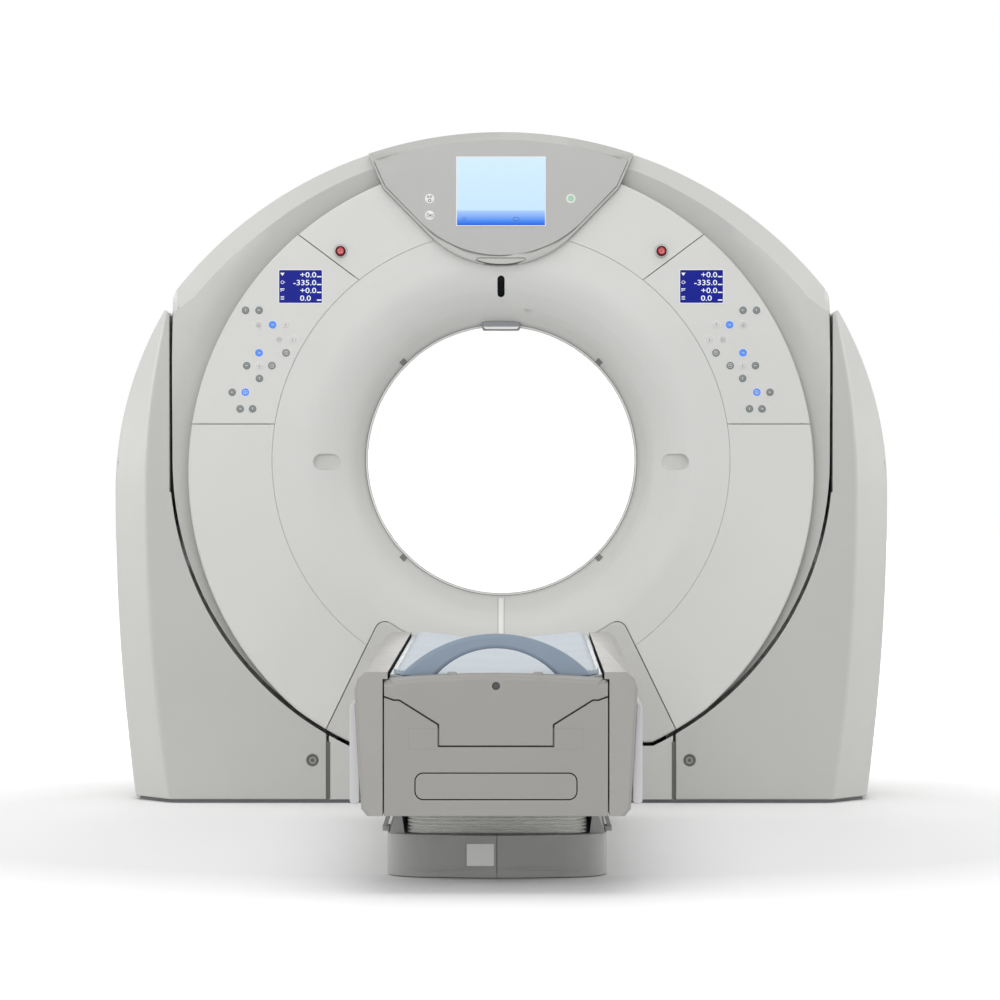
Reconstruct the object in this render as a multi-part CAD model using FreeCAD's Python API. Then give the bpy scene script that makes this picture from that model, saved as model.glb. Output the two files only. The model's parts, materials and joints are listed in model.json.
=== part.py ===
import FreeCAD, Part
import math
import os

# A hospital CT scanner: a gantry whose housing tilts between two side stands, with the rotating
# scan unit inside it, and a patient couch that lifts and slides its tabletop.
# Millimetres. +Z is up and +Y runs from the couch to the gantry's back.
# The origin is on the floor, straight below the isocentre.

V = FreeCAD.Vector

# ---------------------------------------------------------------- driving dimensions
# clearances
SEAM = 2.0  # visible joint between two covers
HAIR_SEAM = 0.7  # joint between pieces of the disc that are fitted as one
BASE_SEAM = 8.0  # joint between the low cover and the side covers
SEAT = 0.3  # between pieces that bolt or clip together
RUN = 0.05  # radial, shaft in its bearing
HOUSING_GAP = 8.0  # black gap round the tilting housing
SIDE_GAP = 6.0  # between the housing and the inner planes of the side covers
WALL = 6.0  # moulded covers

# gantry
ISO_Z = 993.0  # height of the isocentre, which is also the tilt axis
BORE_R = 390.0
HALF_DEPTH = 430.0  # isocentre to the front disc's face
HOUSE_HALF_W = 954.0
HOUSE_BOTTOM = 820.0  # below the isocentre
LOWER_R = 904.0  # lower corners of the housing's outline
LOWER_DZ = -4.0
TOP_R = 1205.0  # crown of the housing's outline
TOP_DZ = -255.0
SHOULDER_R = 60.0
CREASE_TOP = 58.0  # width of the sloping outer band at the crown
CREASE_SIDE = 32.0
CREASE_LOW = 2.0
CREASE_DEPTH = 65.0
RECESS_DEPTH = 38.0  # the inner band falls back from the crease to the disc
RECESS_W = 75.0
SHROUD_WALL = 8.0
REBATE_T = 5.0  # rebate that both discs sit against
REBATE_LIP = 16.0

# front disc
DISC_R = 906.0
DISC_DZ = -38.0
DISC_EDGE = 4.0
DISC_RETURN = 46.0
FLARE_R = 190.0  # round mouth of the bore
FLARE_JOINT_R = BORE_R + FLARE_R + 20.0
FLARE_BANDS = 4
FLARE_BACK_BANDS = 2
LIP_STEP = 7.0  # the mouth ends this far outside the tunnel, where the liner starts
LIP_COLLAR = 24.0
LINER_SINK = 2.0
WINDOW_HALF = 40.0  # thin clear scan window in the liner
WINDOW_T = 3.0

# panels in the front disc
FUNNEL_R = BORE_R + 273.0  # seam between the funnel and the plate round it
LAP = 14.0
LAP_T = 4.0
PANEL_LOW_DZ = 105.0
PANEL_TOP_IN = (409.0, 518.0)
PANEL_TOP_OUT = (588.0, 652.0)
LOWER_PANEL_R = 571.0
LOWER_PANEL_HIGH = (347.0, -453.0)
LOWER_PANEL_FOOT = (505.0, -779.0)
LOWER_PANEL_CORNER_R = 30.0
DISPLAY_W = 124.0
DISPLAY_H = 95.0
DISPLAY_X = 580.0
DISPLAY_DZ = 502.0
FILM_T = 0.6  # sealed keypad film over the panel's face
FILM_INSET = 2.5
ESTOP_X = 464.0
ESTOP_DZ = 604.0
ESTOP_R = 15.0
ESTOP_STEM = 6.0  # half of the square stem
ESTOP_TRAVEL = 4.0
GRIP_X = 505.0
GRIP_DZ = -5.0
GRIP_W = 78.0
GRIP_H = 46.0
GRIP_DEEP = 26.0
SLOT_W = 21.0
SLOT_H = 62.0
SLOT_DZ = 503.0
LAMP_HALF_W = 55.0
LAMP_Y = 118.0 - HALF_DEPTH
LAMP_DEPTH = 50.0
LAMP_DROP = 13.0
CLIP_ANGLES = (45.0, 135.0, 225.0, 315.0)
CLIP_HALF_W = 9.0
CLIP_Y = 108.0 - HALF_DEPTH
CLIP_DEPTH = 24.0
CLIP_PROUD = 3.0

# console
CONSOLE_R = 288.0
CONSOLE_LOW_DZ = 561.0
CONSOLE_NOTCH = (340.0, 785.0)
CONSOLE_TOP = (383.0, 883.0)
FASCIA_R = 331.0
FASCIA_LOW_DZ = 592.0
FASCIA_BROW = 26.0  # below the crown
CONSOLE_PROUD = 22.0
CONSOLE_BACK = 100.0
CONSOLE_RIM = 9.0
CONSOLE_SINK = 5.0
CONSOLE_TONGUE = 14.0  # reaches behind the front cover
SCREEN_W = 256.0
SCREEN_H = 198.0
SCREEN_DZ = 776.0
CRESCENT_HALF = 73.0
CRESCENT_DZ = 575.0
CONSOLE_KEY_X = 202.0
CONSOLE_KEY_DZ = 755.0
CONSOLE_KEY_R = 9.0

# side covers of the stand
SWEEP_EASE = 3.0  # the turned space stays this much inside the outline's gap
SWEEP_BANDS = 6
COVER_BOTTOM = 10.0
LIP_DROP = 30.0
FOOT_INNER_X = 505.0
WING_X = HOUSE_HALF_W + SIDE_GAP  # inner plane of both stands
WING_WAIST_W = 170.0
WING_WAIST_Z = ISO_Z - 93.0
WING_FOOT_W = 111.0
WING_TIP = (25.0, 439.0)  # width over the inner plane, height over the isocentre
WING_UPPER_MID = (125.0, 211.0)
WING_LOWER_MID = (155.0, -543.0)
WING_SLOPE_W = 101.0  # sloping outer band of the side cover
WING_SLOPE_DEPTH = 150.0
WING_SPLIT_Y = 20.0
CAP_X = 546.0
CAP_Z = 123.0
CAP_R = 18.0

# stand inside
BASE_PLATE_T = 10.0
ANCHOR_X = WING_X - 110.0
ANCHOR_Y = 240.0
ANCHOR_R = 9.0
BEAM_Y = 320.0
BEAM_W = 80.0
BEAM_PLAY = 22.7  # between the beams and the tilting housing's lowest edges
BEAM_TOP = ISO_Z - math.sqrt((math.hypot(HALF_DEPTH, HOUSE_BOTTOM) + BEAM_PLAY) ** 2 - BEAM_Y**2)
BEAM_GAP = 3.0
PILLAR_X = WING_X + 25.0
PILLAR_T = 75.0
PILLAR_HALF_FOOT = 262.0
PILLAR_HALF_TOP = 150.0
TRUNNION_R = 60.0
TRUNNION_END = PILLAR_X + PILLAR_T + 12.0
BEARING_SEAT_R = 95.0
BEARING_FLANGE_R = 125.0
GEARBOX_T = 26.0
GEARBOX_R = 88.0
MOTOR_R = 48.0
MOTOR_Y = -248.0

# tilt frame and rotor
FRAME_Y = 150.0
FRAME_T = 80.0
FRAME_HOLE_R = BORE_R + 55.0
FRAME_R = 780.0
FOOT_X = 230.0
ARM_HALF_H = 150.0
ARM_X = HOUSE_HALF_W - 65.0
ARM_T = 30.0
BEARING_IN_R = BORE_R + 170.0
BEARING_OUT_R = BORE_R + 250.0
BEARING_GAP = 0.3
DRUM_IN_R = BORE_R + 35.0
DRUM_OUT_R = 735.0
DRUM_PLATE_Y = 60.0
DRUM_PLATE_T = 40.0
DRUM_FRONT_Y = -150.0
DRUM_SKIN = 12.0
TUBE_R = 92.0
COLLIMATOR_H = 46.0
FOCUS_DZ = DRUM_IN_R + DRUM_SKIN + COLLIMATOR_H + TUBE_R
SLIP_IN_R = BORE_R + 65.0
SLIP_OUT_R = BORE_R + 125.0
SLIP_T = 42.0
DETECTOR_DIST = 1055.0
DETECTOR_T = 75.0
DETECTOR_HALF_ANGLE = 26.0
UNIT_IN_X = DRUM_IN_R + 45.0
UNIT_OUT_X = DRUM_OUT_R - 55.0
UNIT_HALF_H = 150.0
WEIGHT_ANGLE = 62.0  # from straight down

# couch base
BASE_NEAR_Y = -2821.0
BASE_FAR_Y = -1321.0
BASE_HALF_W = 264.0
BASE_TOP = 102.0
BASE_CORNER_R = 120.0
BASE_SHELL = 4.0
COUCH_PLATE_T = 12.0
COUCH_ANCHOR_X = 190.0
COUCH_ANCHOR_Y = 600.0
COUCH_ANCHOR_R = 7.0
BELLOWS_HALF_W = BASE_HALF_W - 48.0
EAR_TOP = 156.0  # raised flanks of the base cover beside the bellows
EAR_NEAR_Y = 75.0
EAR_WALL = 4.0
BELLOWS_INSET_Y = 45.0
BELLOWS_FOLDS = 6
BELLOWS_FOLD_IN = 9.0
BELLOWS_SKIN = 2.0
BELLOWS_CORNER = 50.0

# couch
COUCH_NEAR_Y = -3230.0
COUCH_FAR_Y = -HALF_DEPTH - 450.0
BODY_BOTTOM = 181.0
BODY_TOP = 512.0
BODY_SEAM_X = 259.0  # half the couch's inner width
RIM_IN_X = BODY_SEAM_X - 10.0
BODY_HALF_W = BODY_SEAM_X + 67.0
BODY_FOOT_X = BODY_SEAM_X + 51.0
STRIP_T = 11.0
STRIP_LOW = 207.0
STRIP_HIGH = 437.0
SKIN = 4.0
END_T = 24.0
LID_SEAM = ((BODY_SEAM_X, 465.0), (235.0, 449.0), (222.0, 449.0), (131.0, 392.0), (131.0, 343.0))
LID_CROWN = 510.0
LID_SIDE = 498.0
PLATE_HALF_W = 187.0
PLATE_LOW = 218.0
PLATE_HIGH = 281.0
PLATE_R = 20.0
GROOVE = 2.0
GROOVE_DEPTH = 4.5
COUCH_SEAM = 3.0
COLUMN_Y = (BASE_NEAR_Y + BASE_FAR_Y) / 2
COLUMN_HALF_X = 110.0
COLUMN_HALF_Y = 160.0
COLUMN_WALL = 8.0
COLUMN_TOP = 400.0
COLUMN_PLAY = 0.5
BULKHEAD_T = 5.0
RAIL_X = BODY_SEAM_X - 59.0
RAIL_W = 20.0
RAIL_LOW = 420.0
RAIL_HIGH = 435.0
TABLE_HALF_W = RIM_IN_X - 4.0
TABLE_FLAT_HALF = TABLE_HALF_W - 20.0
TABLE_LOW = 452.0
TABLE_EDGE = 506.0
TABLE_DISH = 22.0
TABLE_NEAR_Y = COUCH_NEAR_Y + 30.0
MAT_T = 12.0
MAT_HALF_W = TABLE_HALF_W - 7.0
MAT_NEAR_Y = TABLE_NEAR_Y + 18.0
HANDLE_HALF_OUT = TABLE_HALF_W - 23.0
HANDLE_HALF_IN = HANDLE_HALF_OUT - 75.0
HANDLE_TOP = 599.0
HANDLE_THICK = 34.0
HANDLE_DEPTH = 18.0
HANDLE_EDGE = 5.0
CARRIAGE_NEAR_Y = COUCH_NEAR_Y + 480.0
CARRIAGE_FAR_Y = COUCH_FAR_Y - 460.0

FRONT_Y = -HALF_DEPTH


# ---------------------------------------------------------------- shape helpers
def line(a, b):
    return Part.LineSegment(a, b).toShape()


def arc(a, middle, b):
    return Part.Arc(a, middle, b).toShape()


def box(x0, x1, y0, y1, z0, z1):
    return Part.makeBox(x1 - x0, y1 - y0, z1 - z0, V(x0, y0, z0))


def cylinder_y(x, z, r, y0, y1):
    return Part.makeCylinder(r, y1 - y0, V(x, y0, z), V(0, 1, 0))


def cylinder_x(y, z, r, x0, x1):
    return Part.makeCylinder(r, x1 - x0, V(x0, y, z), V(1, 0, 0))


def cylinder_z(x, y, r, z0, z1):
    return Part.makeCylinder(r, z1 - z0, V(x, y, z0))


def tube_y(r_in, r_out, y0, y1):
    """A ring round the isocentre's axis."""
    return cylinder_y(0, ISO_Z, r_out, y0, y1).cut(cylinder_y(0, ISO_Z, r_in, y0 - 1, y1 + 1))


def polygon_xz(points, y=0.0):
    loop = [V(x, y, z) for x, z in points]
    return Part.Face(Part.makePolygon(loop + loop[:1]))


def prism_y(face, y0, y1):
    """Extrudes a face that lies in the plane y = 0."""
    solid = face.extrude(V(0, y1 - y0, 0))
    solid.translate(V(0, y0, 0))
    return solid


def grown(face, amount):
    return face if not amount else face.makeOffset2D(amount, join=2)


def mirrored(shape):
    return shape.mirror(V(0, 0, 0), V(1, 0, 0))


def turned_back(shape):
    """The same shape on the gantry's rear side."""
    return shape.mirror(V(0, 0, 0), V(0, 1, 0))


def one(shape):
    return shape.removeSplitter()


def rounded_slab(x0, x1, y0, y1, z0, z1, r, axis):
    """A box whose four edges along the axis are rounded."""
    slab = box(x0, x1, y0, y1, z0, z1)
    edges = [e for e in slab.Edges if abs(abs(e.tangentAt(e.FirstParameter).dot(axis)) - 1) < 1e-6]
    return slab.makeFillet(r, edges)


def edges_where(shape, test):
    return [e for e in shape.Edges if test(e.BoundBox)]


def save(shape, name):
    os.makedirs("parts", exist_ok=True)
    shape.exportStep(os.path.join("parts", name + ".step"))


# ---------------------------------------------------------------- housing outline
def housing_wire(y, top=0.0, side=0.0, low=0.0, floor=0.0):
    """Outline of the tilting housing, moved inwards by separate amounts along its parts."""
    half_w = HOUSE_HALF_W - side
    crown_r = TOP_R - top
    crown_z = ISO_Z + TOP_DZ
    round_r = max(SHOULDER_R - min(top, side), SHOULDER_R / 2)
    shoulder_x = half_w - round_r
    shoulder_z = crown_z + math.sqrt((crown_r - round_r) ** 2 - shoulder_x**2)
    away = V(shoulder_x, 0, shoulder_z - crown_z).normalize()
    on_crown = V(0, y, crown_z) + away * crown_r
    half_way = V(shoulder_x, y, shoulder_z) + (away + V(1, 0, 0)).normalize() * round_r
    lower_x = HOUSE_HALF_W - LOWER_R
    lower_z = ISO_Z + LOWER_DZ
    bottom_z = ISO_Z - HOUSE_BOTTOM + floor
    foot_r = LOWER_R - low
    foot_x = lower_x + math.sqrt(foot_r**2 - (lower_z - bottom_z) ** 2)
    middle_r = LOWER_R - (side + low) / 2
    bend = math.radians(40)
    lower_middle = V(lower_x + middle_r * math.cos(bend), y, lower_z - middle_r * math.sin(bend))
    right = [
        arc(V(foot_x, y, bottom_z), lower_middle, V(half_w, y, lower_z)),
        line(V(half_w, y, lower_z), V(half_w, y, shoulder_z)),
        arc(V(half_w, y, shoulder_z), half_way, on_crown),
    ]

    def left(p):
        return V(-p.x, p.y, p.z)

    crown = arc(on_crown, V(0, y, crown_z + crown_r), left(on_crown))
    other = [
        arc(left(on_crown), left(half_way), V(-half_w, y, shoulder_z)),
        line(V(-half_w, y, shoulder_z), V(-half_w, y, lower_z)),
        arc(V(-half_w, y, lower_z), left(lower_middle), V(-foot_x, y, bottom_z)),
    ]
    bottom = line(V(-foot_x, y, bottom_z), V(foot_x, y, bottom_z))
    return Part.Wire(right + [crown] + other + [bottom])


def housing_face(inset=0.0):
    return Part.Face(housing_wire(0.0, inset, inset, inset, inset))


def disc_face(inset=0.0):
    """The front disc: a circle cut off by the housing's own outline near the floor."""
    circle = Part.Circle(V(0, 0, ISO_Z + DISC_DZ), V(0, 1, 0), DISC_R - inset).toShape()
    disc = Part.Face(Part.Wire(circle))
    return disc.common(housing_face(SEAM + 1 + inset)).Faces[0]


def outline_void(gap):
    """Space that the housing fills while it stands upright, with a gap all round."""
    side = gap - HOUSING_GAP + SIDE_GAP - SEAT
    outline = Part.Face(housing_wire(0.0, -gap, -side, -gap, -gap))
    return prism_y(outline, -HALF_DEPTH - 5, HALF_DEPTH + 5)


def sweep_void(gap):
    """Space that the housing needs while it tilts: its lower outline turned about the tilt axis."""
    lower_x = HOUSE_HALF_W - LOWER_R
    round_r = LOWER_R + gap - SWEEP_EASE
    flat_x = lower_x + math.sqrt(round_r**2 - (HOUSE_BOTTOM + gap - SWEEP_EASE + LOWER_DZ) ** 2)

    def reach(x):
        drop = math.sqrt(max(round_r**2 - (x - lower_x) ** 2, 0.0)) - LOWER_DZ
        return math.hypot(HALF_DEPTH - 1, drop)

    start = math.acos((flat_x - lower_x) / round_r)
    turns = [start * (1 - i / SWEEP_BANDS) for i in range(SWEEP_BANDS + 1)]
    xs = [lower_x + round_r * math.cos(turn) for turn in turns]
    right = [(x, ISO_Z + reach(x)) for x in xs] + [(xs[-1], ISO_Z)]
    left = [(-x, z) for x, z in reversed(right)]
    return polygon_xz(left + right).revolve(V(0, 0, ISO_Z), V(1, 0, 0), 360)


# ---------------------------------------------------------------- tilting housing: covers
def bore_mouth(bands, inward=0.0):
    """Points of the flared mouth's section from tunnel to face, offset into the wall."""
    centre_r = BORE_R + FLARE_R
    centre_y = FRONT_Y + FLARE_R
    round_r = FLARE_R - inward
    start = math.acos((FLARE_R - LIP_STEP) / FLARE_R)
    points = []
    for i in range(bands + 1):
        turn = start + (math.radians(90) - start) * i / bands
        points.append((centre_r - round_r * math.cos(turn), centre_y - round_r * math.sin(turn)))
    return points


def lip_y():
    """Depth of the mouth's inner edge."""
    return bore_mouth(1)[0][1]


def turned(section):
    """Turns a closed section of (radius, y) points about the bore's axis."""
    loop = [V(r, y, ISO_Z) for r, y in section]
    return Part.Face(Part.makePolygon(loop + loop[:1])).revolve(V(0, 0, ISO_Z), V(0, 1, 0), 360)


def disc_shell():
    """Front disc with its round mouth, collar and turned-back rim, before the openings."""
    face = [(FLARE_JOINT_R, FRONT_Y), (FLARE_JOINT_R, FRONT_Y + WALL)]
    collar_y = lip_y() + LIP_COLLAR
    lip_r = BORE_R + LIP_STEP
    collar = [(lip_r + WALL, collar_y), (lip_r, collar_y)]
    back = list(reversed(bore_mouth(FLARE_BACK_BANDS, WALL)))
    mouth = turned(bore_mouth(FLARE_BANDS) + face + back + collar)
    slab = prism_y(disc_face(), FRONT_Y, FRONT_Y + DISC_RETURN)
    rim = edges_where(slab, lambda b: b.YMax < FRONT_Y + 0.01)
    slab = slab.makeChamfer(DISC_EDGE, rim)
    hollow = prism_y(disc_face(WALL), FRONT_Y + WALL, FRONT_Y + DISC_RETURN + 1)
    plate = slab.cut(hollow).cut(cylinder_y(0, ISO_Z, FLARE_JOINT_R, FRONT_Y - 1, 0))
    return one(mouth.fuse(plate))


def control_region():
    """Right control panel, in the plane of the disc."""
    (x0, z0), (x1, z1) = PANEL_TOP_IN, PANEL_TOP_OUT
    along = V(x1 - x0, 0, z1 - z0).normalize()
    inner = V(x0, 0, z0) - along * 160
    outer = V(x1, 0, z1) + along * (DISC_R - x1) * 1.4
    low = PANEL_LOW_DZ
    corners = [(inner.x, inner.z), (outer.x, outer.z), (outer.x, low), (inner.x, low)]
    area = polygon_xz([(x, ISO_Z + z) for x, z in corners])
    circle = Part.Circle(V(0, 0, ISO_Z), V(0, 1, 0), FUNNEL_R).toShape()
    return area.cut(Part.Face(Part.Wire(circle))).Faces[0]


def lower_region():
    """Lower front panel: straight sides, rounded shoulders, top edge round the bore."""
    (x0, z0), (x1, z1) = LOWER_PANEL_HIGH, LOWER_PANEL_FOOT
    slope = (x1 - x0) / (z1 - z0)
    foot_z = -HOUSE_BOTTOM - 60
    high_z = z0 + 60
    foot_x = x0 + slope * (foot_z - z0)
    high_x = x0 + slope * (high_z - z0)
    corners = [(-high_x, high_z), (high_x, high_z), (foot_x, foot_z), (-foot_x, foot_z)]
    area = polygon_xz([(x, ISO_Z + z) for x, z in corners])
    circle = Part.Circle(V(0, 0, ISO_Z), V(0, 1, 0), LOWER_PANEL_R).toShape()
    area = area.cut(Part.Face(Part.Wire(circle))).Faces[0]
    solid = prism_y(area, 0, 1)
    corners = [
        e
        for e in solid.Edges
        if abs(e.BoundBox.XLength) < 0.01
        and abs(e.BoundBox.ZLength) < 0.01
        and e.BoundBox.ZMin > ISO_Z + z0 - 80
    ]
    solid = solid.makeFillet(LOWER_PANEL_CORNER_R, corners)
    flat = [f for f in solid.Faces if f.BoundBox.YMax < 0.01]
    return flat[0]


def console_region(low_dz=CONSOLE_LOW_DZ, round_r=CONSOLE_R, inset=0.0):
    """Shield outline of the console: round chin, straight flanks, upright top corners."""
    nx, nz = CONSOLE_NOTCH[0] - 0.7 * inset, CONSOLE_NOTCH[1] + 0.7 * inset
    tx, tz = CONSOLE_TOP[0] - inset, CONSOLE_TOP[1]
    lean = (CONSOLE_TOP[0] - CONSOLE_NOTCH[0]) / (CONSOLE_TOP[1] - CONSOLE_NOTCH[1])
    over = TOP_R + TOP_DZ + 60
    over_x = tx + lean * (over - tz)
    centre_z = low_dz + round_r
    reach = math.hypot(nx, nz - centre_z)
    turn = math.atan2(nz - centre_z, nx) - math.acos(round_r / reach)
    chin = V(round_r * math.cos(turn), 0, ISO_Z + centre_z + round_r * math.sin(turn))
    right = [chin, V(nx, 0, ISO_Z + nz), V(over_x, 0, ISO_Z + over)]
    left = [V(-p.x, 0, p.z) for p in reversed(right)]
    corners = right + left
    edges = [line(a, b) for a, b in zip(corners, corners[1:])]
    return Part.Face(Part.Wire(edges + [arc(left[-1], V(0, 0, ISO_Z + low_dz), chin)]))


def oval(x, z, width, height, y0, y1):
    """An upright or lying slot with round ends."""
    r = min(width, height) / 2
    slab = box(x - width / 2, x + width / 2, y0, y1, z - height / 2, z + height / 2)
    edges = [e for e in slab.Edges if abs(e.BoundBox.YLength - (y1 - y0)) < 1e-6]
    return slab.makeFillet(r * 0.999, edges)


def lap_ring():
    """Step of the funnel that reaches behind the cover's plate."""
    lap_y = FRONT_Y + WALL + SEAT
    ring = tube_y(FUNNEL_R - LAP, FUNNEL_R + LAP, lap_y, lap_y + LAP_T)
    ring = ring.fuse(tube_y(FUNNEL_R - LAP, FUNNEL_R - HAIR_SEAM, lap_y - 1, lap_y + 1))
    return ring


def front_covers():
    shell = disc_shell()
    panel = control_region()
    lower = lower_region()
    console = console_region()
    y0, y1 = FRONT_Y - 30, FRONT_Y + 60
    control_panel = shell.common(prism_y(panel, y0, y1))
    lower_panel = shell.common(prism_y(lower, y0, y1))
    inside = cylinder_y(0, ISO_Z, FUNNEL_R - HAIR_SEAM, 2 * FRONT_Y, 0)
    funnel = shell.common(inside).fuse(lap_ring())
    save(turned_back(funnel), "rear_funnel")
    save(turned_back(shell.cut(cylinder_y(0, ISO_Z, FUNNEL_R, 2 * FRONT_Y, 0))), "rear_cover")
    tongue_room = prism_y(grown(console, CONSOLE_TONGUE + SEAM), FRONT_Y + WALL, y1)
    lower_room = prism_y(grown(lower, SEAM), y0, y1)
    funnel = funnel.cut(prism_y(grown(console, HAIR_SEAM), y0, y1)).cut(tongue_room).cut(lower_room)
    funnel = funnel.cut(oval(0, ISO_Z + SLOT_DZ, SLOT_W, SLOT_H, y0, y1))
    for side in (-1, 1):
        funnel = funnel.cut(oval(side * GRIP_X, ISO_Z + GRIP_DZ, GRIP_W, GRIP_H, y0, y1))
    save(one(funnel), "front_funnel")
    cover = shell.cut(cylinder_y(0, ISO_Z, FUNNEL_R, 2 * FRONT_Y, 0))
    cover = cover.cut(prism_y(grown(panel, SEAM), y0, y1))
    cover = cover.cut(mirrored(prism_y(grown(panel, SEAM), y0, y1)))
    cover = cover.cut(lower_room).cut(prism_y(grown(console, HAIR_SEAM), y0, y1))
    for side in (-1, 1):
        cover = cover.cut(cylinder_y(side * ESTOP_X, ISO_Z + ESTOP_DZ, ESTOP_R + 4, y0, y1))
    control_panel = control_panel.cut(display_window())
    save(one(cover), "front_cover")
    save(lower_panel, "lower_front_panel")
    save(control_panel, "control_panel_right")
    save(mirrored(control_panel), "control_panel_left")


def displays_and_keypads():
    """Behind each control panel: the display module and the one-piece keypad."""
    inner = 0.4
    half_w = DISPLAY_W / 2 - inner
    half_h = DISPLAY_H / 2 - inner
    z = ISO_Z + DISPLAY_DZ
    glass = box(DISPLAY_X - half_w, DISPLAY_X + half_w, FRONT_Y + 1.5, FRONT_Y + 8, z - half_h, z + half_h)
    rear = box(
        DISPLAY_X - half_w - 4,
        DISPLAY_X + half_w + 4,
        FRONT_Y + WALL + SEAT,
        FRONT_Y + 22,
        z - half_h - 4,
        z + half_h + 4,
    )
    display = glass.fuse(rear)
    film = prism_y(grown(control_region(), -FILM_INSET), FRONT_Y - FILM_T, FRONT_Y)
    film = film.common(prism_y(disc_face(DISC_EDGE + FILM_INSET), FRONT_Y - 1, FRONT_Y))
    film = film.cut(display_window())
    save(Part.makeCompound([display, mirrored(display)]), "position_displays")
    save(Part.makeCompound([film, mirrored(film)]), "keypads")


def display_window():
    half_w, half_h = DISPLAY_W / 2, DISPLAY_H / 2
    z = ISO_Z + DISPLAY_DZ
    return box(DISPLAY_X - half_w, DISPLAY_X + half_w, FRONT_Y - 30, FRONT_Y + 60, z - half_h, z + half_h)


def front_fittings():
    """Finger cups, laser window, lamp, clips and emergency stops."""
    behind = behind_front()
    cup = oval(GRIP_X, ISO_Z + GRIP_DZ, GRIP_W - 2 * SEAT, GRIP_H - 2 * SEAT, FRONT_Y - 5, FRONT_Y + 50)
    cup = cup.common(behind)
    floor_in = FRONT_Y + 14
    floor_out = FRONT_Y + 14 + GRIP_DEEP
    x0, x1 = GRIP_X - GRIP_W, GRIP_X + GRIP_W
    wedge = Part.Face(
        Part.makePolygon(
            [
                V(x0, FRONT_Y - 10, 0),
                V(x1, FRONT_Y - 10, 0),
                V(x1, floor_out, 0),
                V(x0, floor_in, 0),
                V(x0, FRONT_Y - 10, 0),
            ]
        )
    ).extrude(V(0, 0, 2 * ISO_Z))
    hollow = oval(GRIP_X, ISO_Z + GRIP_DZ, GRIP_W - 6, GRIP_H - 6, FRONT_Y - 6, FRONT_Y + 46)
    cup = cup.cut(hollow.common(wedge))
    save(Part.makeCompound([cup, mirrored(cup)]), "grip_cups")

    slot = oval(0, ISO_Z + SLOT_DZ, SLOT_W - 2 * SEAT, SLOT_H - 2 * SEAT, FRONT_Y - 5, FRONT_Y + 34)
    save(slot.common(behind_front(2)), "laser_window")

    top = ISO_Z + BORE_R
    lamp = box(-LAMP_HALF_W, LAMP_HALF_W, LAMP_Y, LAMP_Y + LAMP_DEPTH, top - LAMP_DROP, top + 30)
    lamp = lamp.makeChamfer(4, edges_where(lamp, lambda b: b.ZMax < top - LAMP_DROP + 1))
    save(lamp.cut(behind_front(-SEAT)), "bore_lamp")

    clips = []
    for angle in CLIP_ANGLES:
        clip = box(-CLIP_HALF_W, CLIP_HALF_W, CLIP_Y, CLIP_Y + CLIP_DEPTH, top, top + 60)
        clip = clip.common(behind_front(-CLIP_PROUD)).cut(behind_front(-SEAT))
        clip.rotate(V(0, 0, ISO_Z), V(0, 1, 0), angle)
        clips.append(clip)
    save(Part.makeCompound(clips), "bore_clips")

    collars = []
    for side, name in ((-1, "left"), (1, "right")):
        x, z = side * ESTOP_X, ISO_Z + ESTOP_DZ
        collar = cylinder_y(x, z, ESTOP_R + 4 - SEAT, FRONT_Y - 2, FRONT_Y + 40)
        guide = ESTOP_STEM + RUN
        collar = collar.cut(box(x - guide, x + guide, FRONT_Y - 3, FRONT_Y + 41, z - guide, z + guide))
        collars.append(collar)
        cap_y = FRONT_Y - 2 - ESTOP_TRAVEL - 0.5
        cap = cylinder_y(x, z, ESTOP_R, cap_y - 11, cap_y)
        cap = cap.makeChamfer(3, edges_where(cap, lambda b: b.YMax < cap_y - 10.9))
        stem = ESTOP_STEM
        button = cap.fuse(box(x - stem, x + stem, cap_y - 1, FRONT_Y + 34, z - stem, z + stem))
        save(one(button), "estop_button_" + name)
    save(Part.makeCompound(collars), "estop_collars")


def behind_front(sink=0.0):
    """Everything behind the face and round mouth of the front cover, sunk by a given depth."""
    tunnel = [(BORE_R + sink, lip_y() + LINER_SINK + sink), (BORE_R + sink, 0)]
    back = [(HOUSE_HALF_W, 0), (HOUSE_HALF_W, FRONT_Y + sink)]
    return turned(list(reversed(bore_mouth(FLARE_BANDS, sink))) + tunnel + back)


def recess(sink):
    """Dished space before the shroud's inner band: a cone that narrows towards the disc's edge."""
    slope = RECESS_W / RECESS_DEPTH
    near_y = FRONT_Y - 5
    edge_y = FRONT_Y + RECESS_DEPTH + sink
    edge_r = DISC_R + SEAM
    near_r = edge_r + (edge_y - near_y) * slope
    base = V(0, near_y, ISO_Z + DISC_DZ)
    return Part.makeCone(near_r, edge_r, edge_y - near_y, base, V(0, 1, 0))


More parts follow.
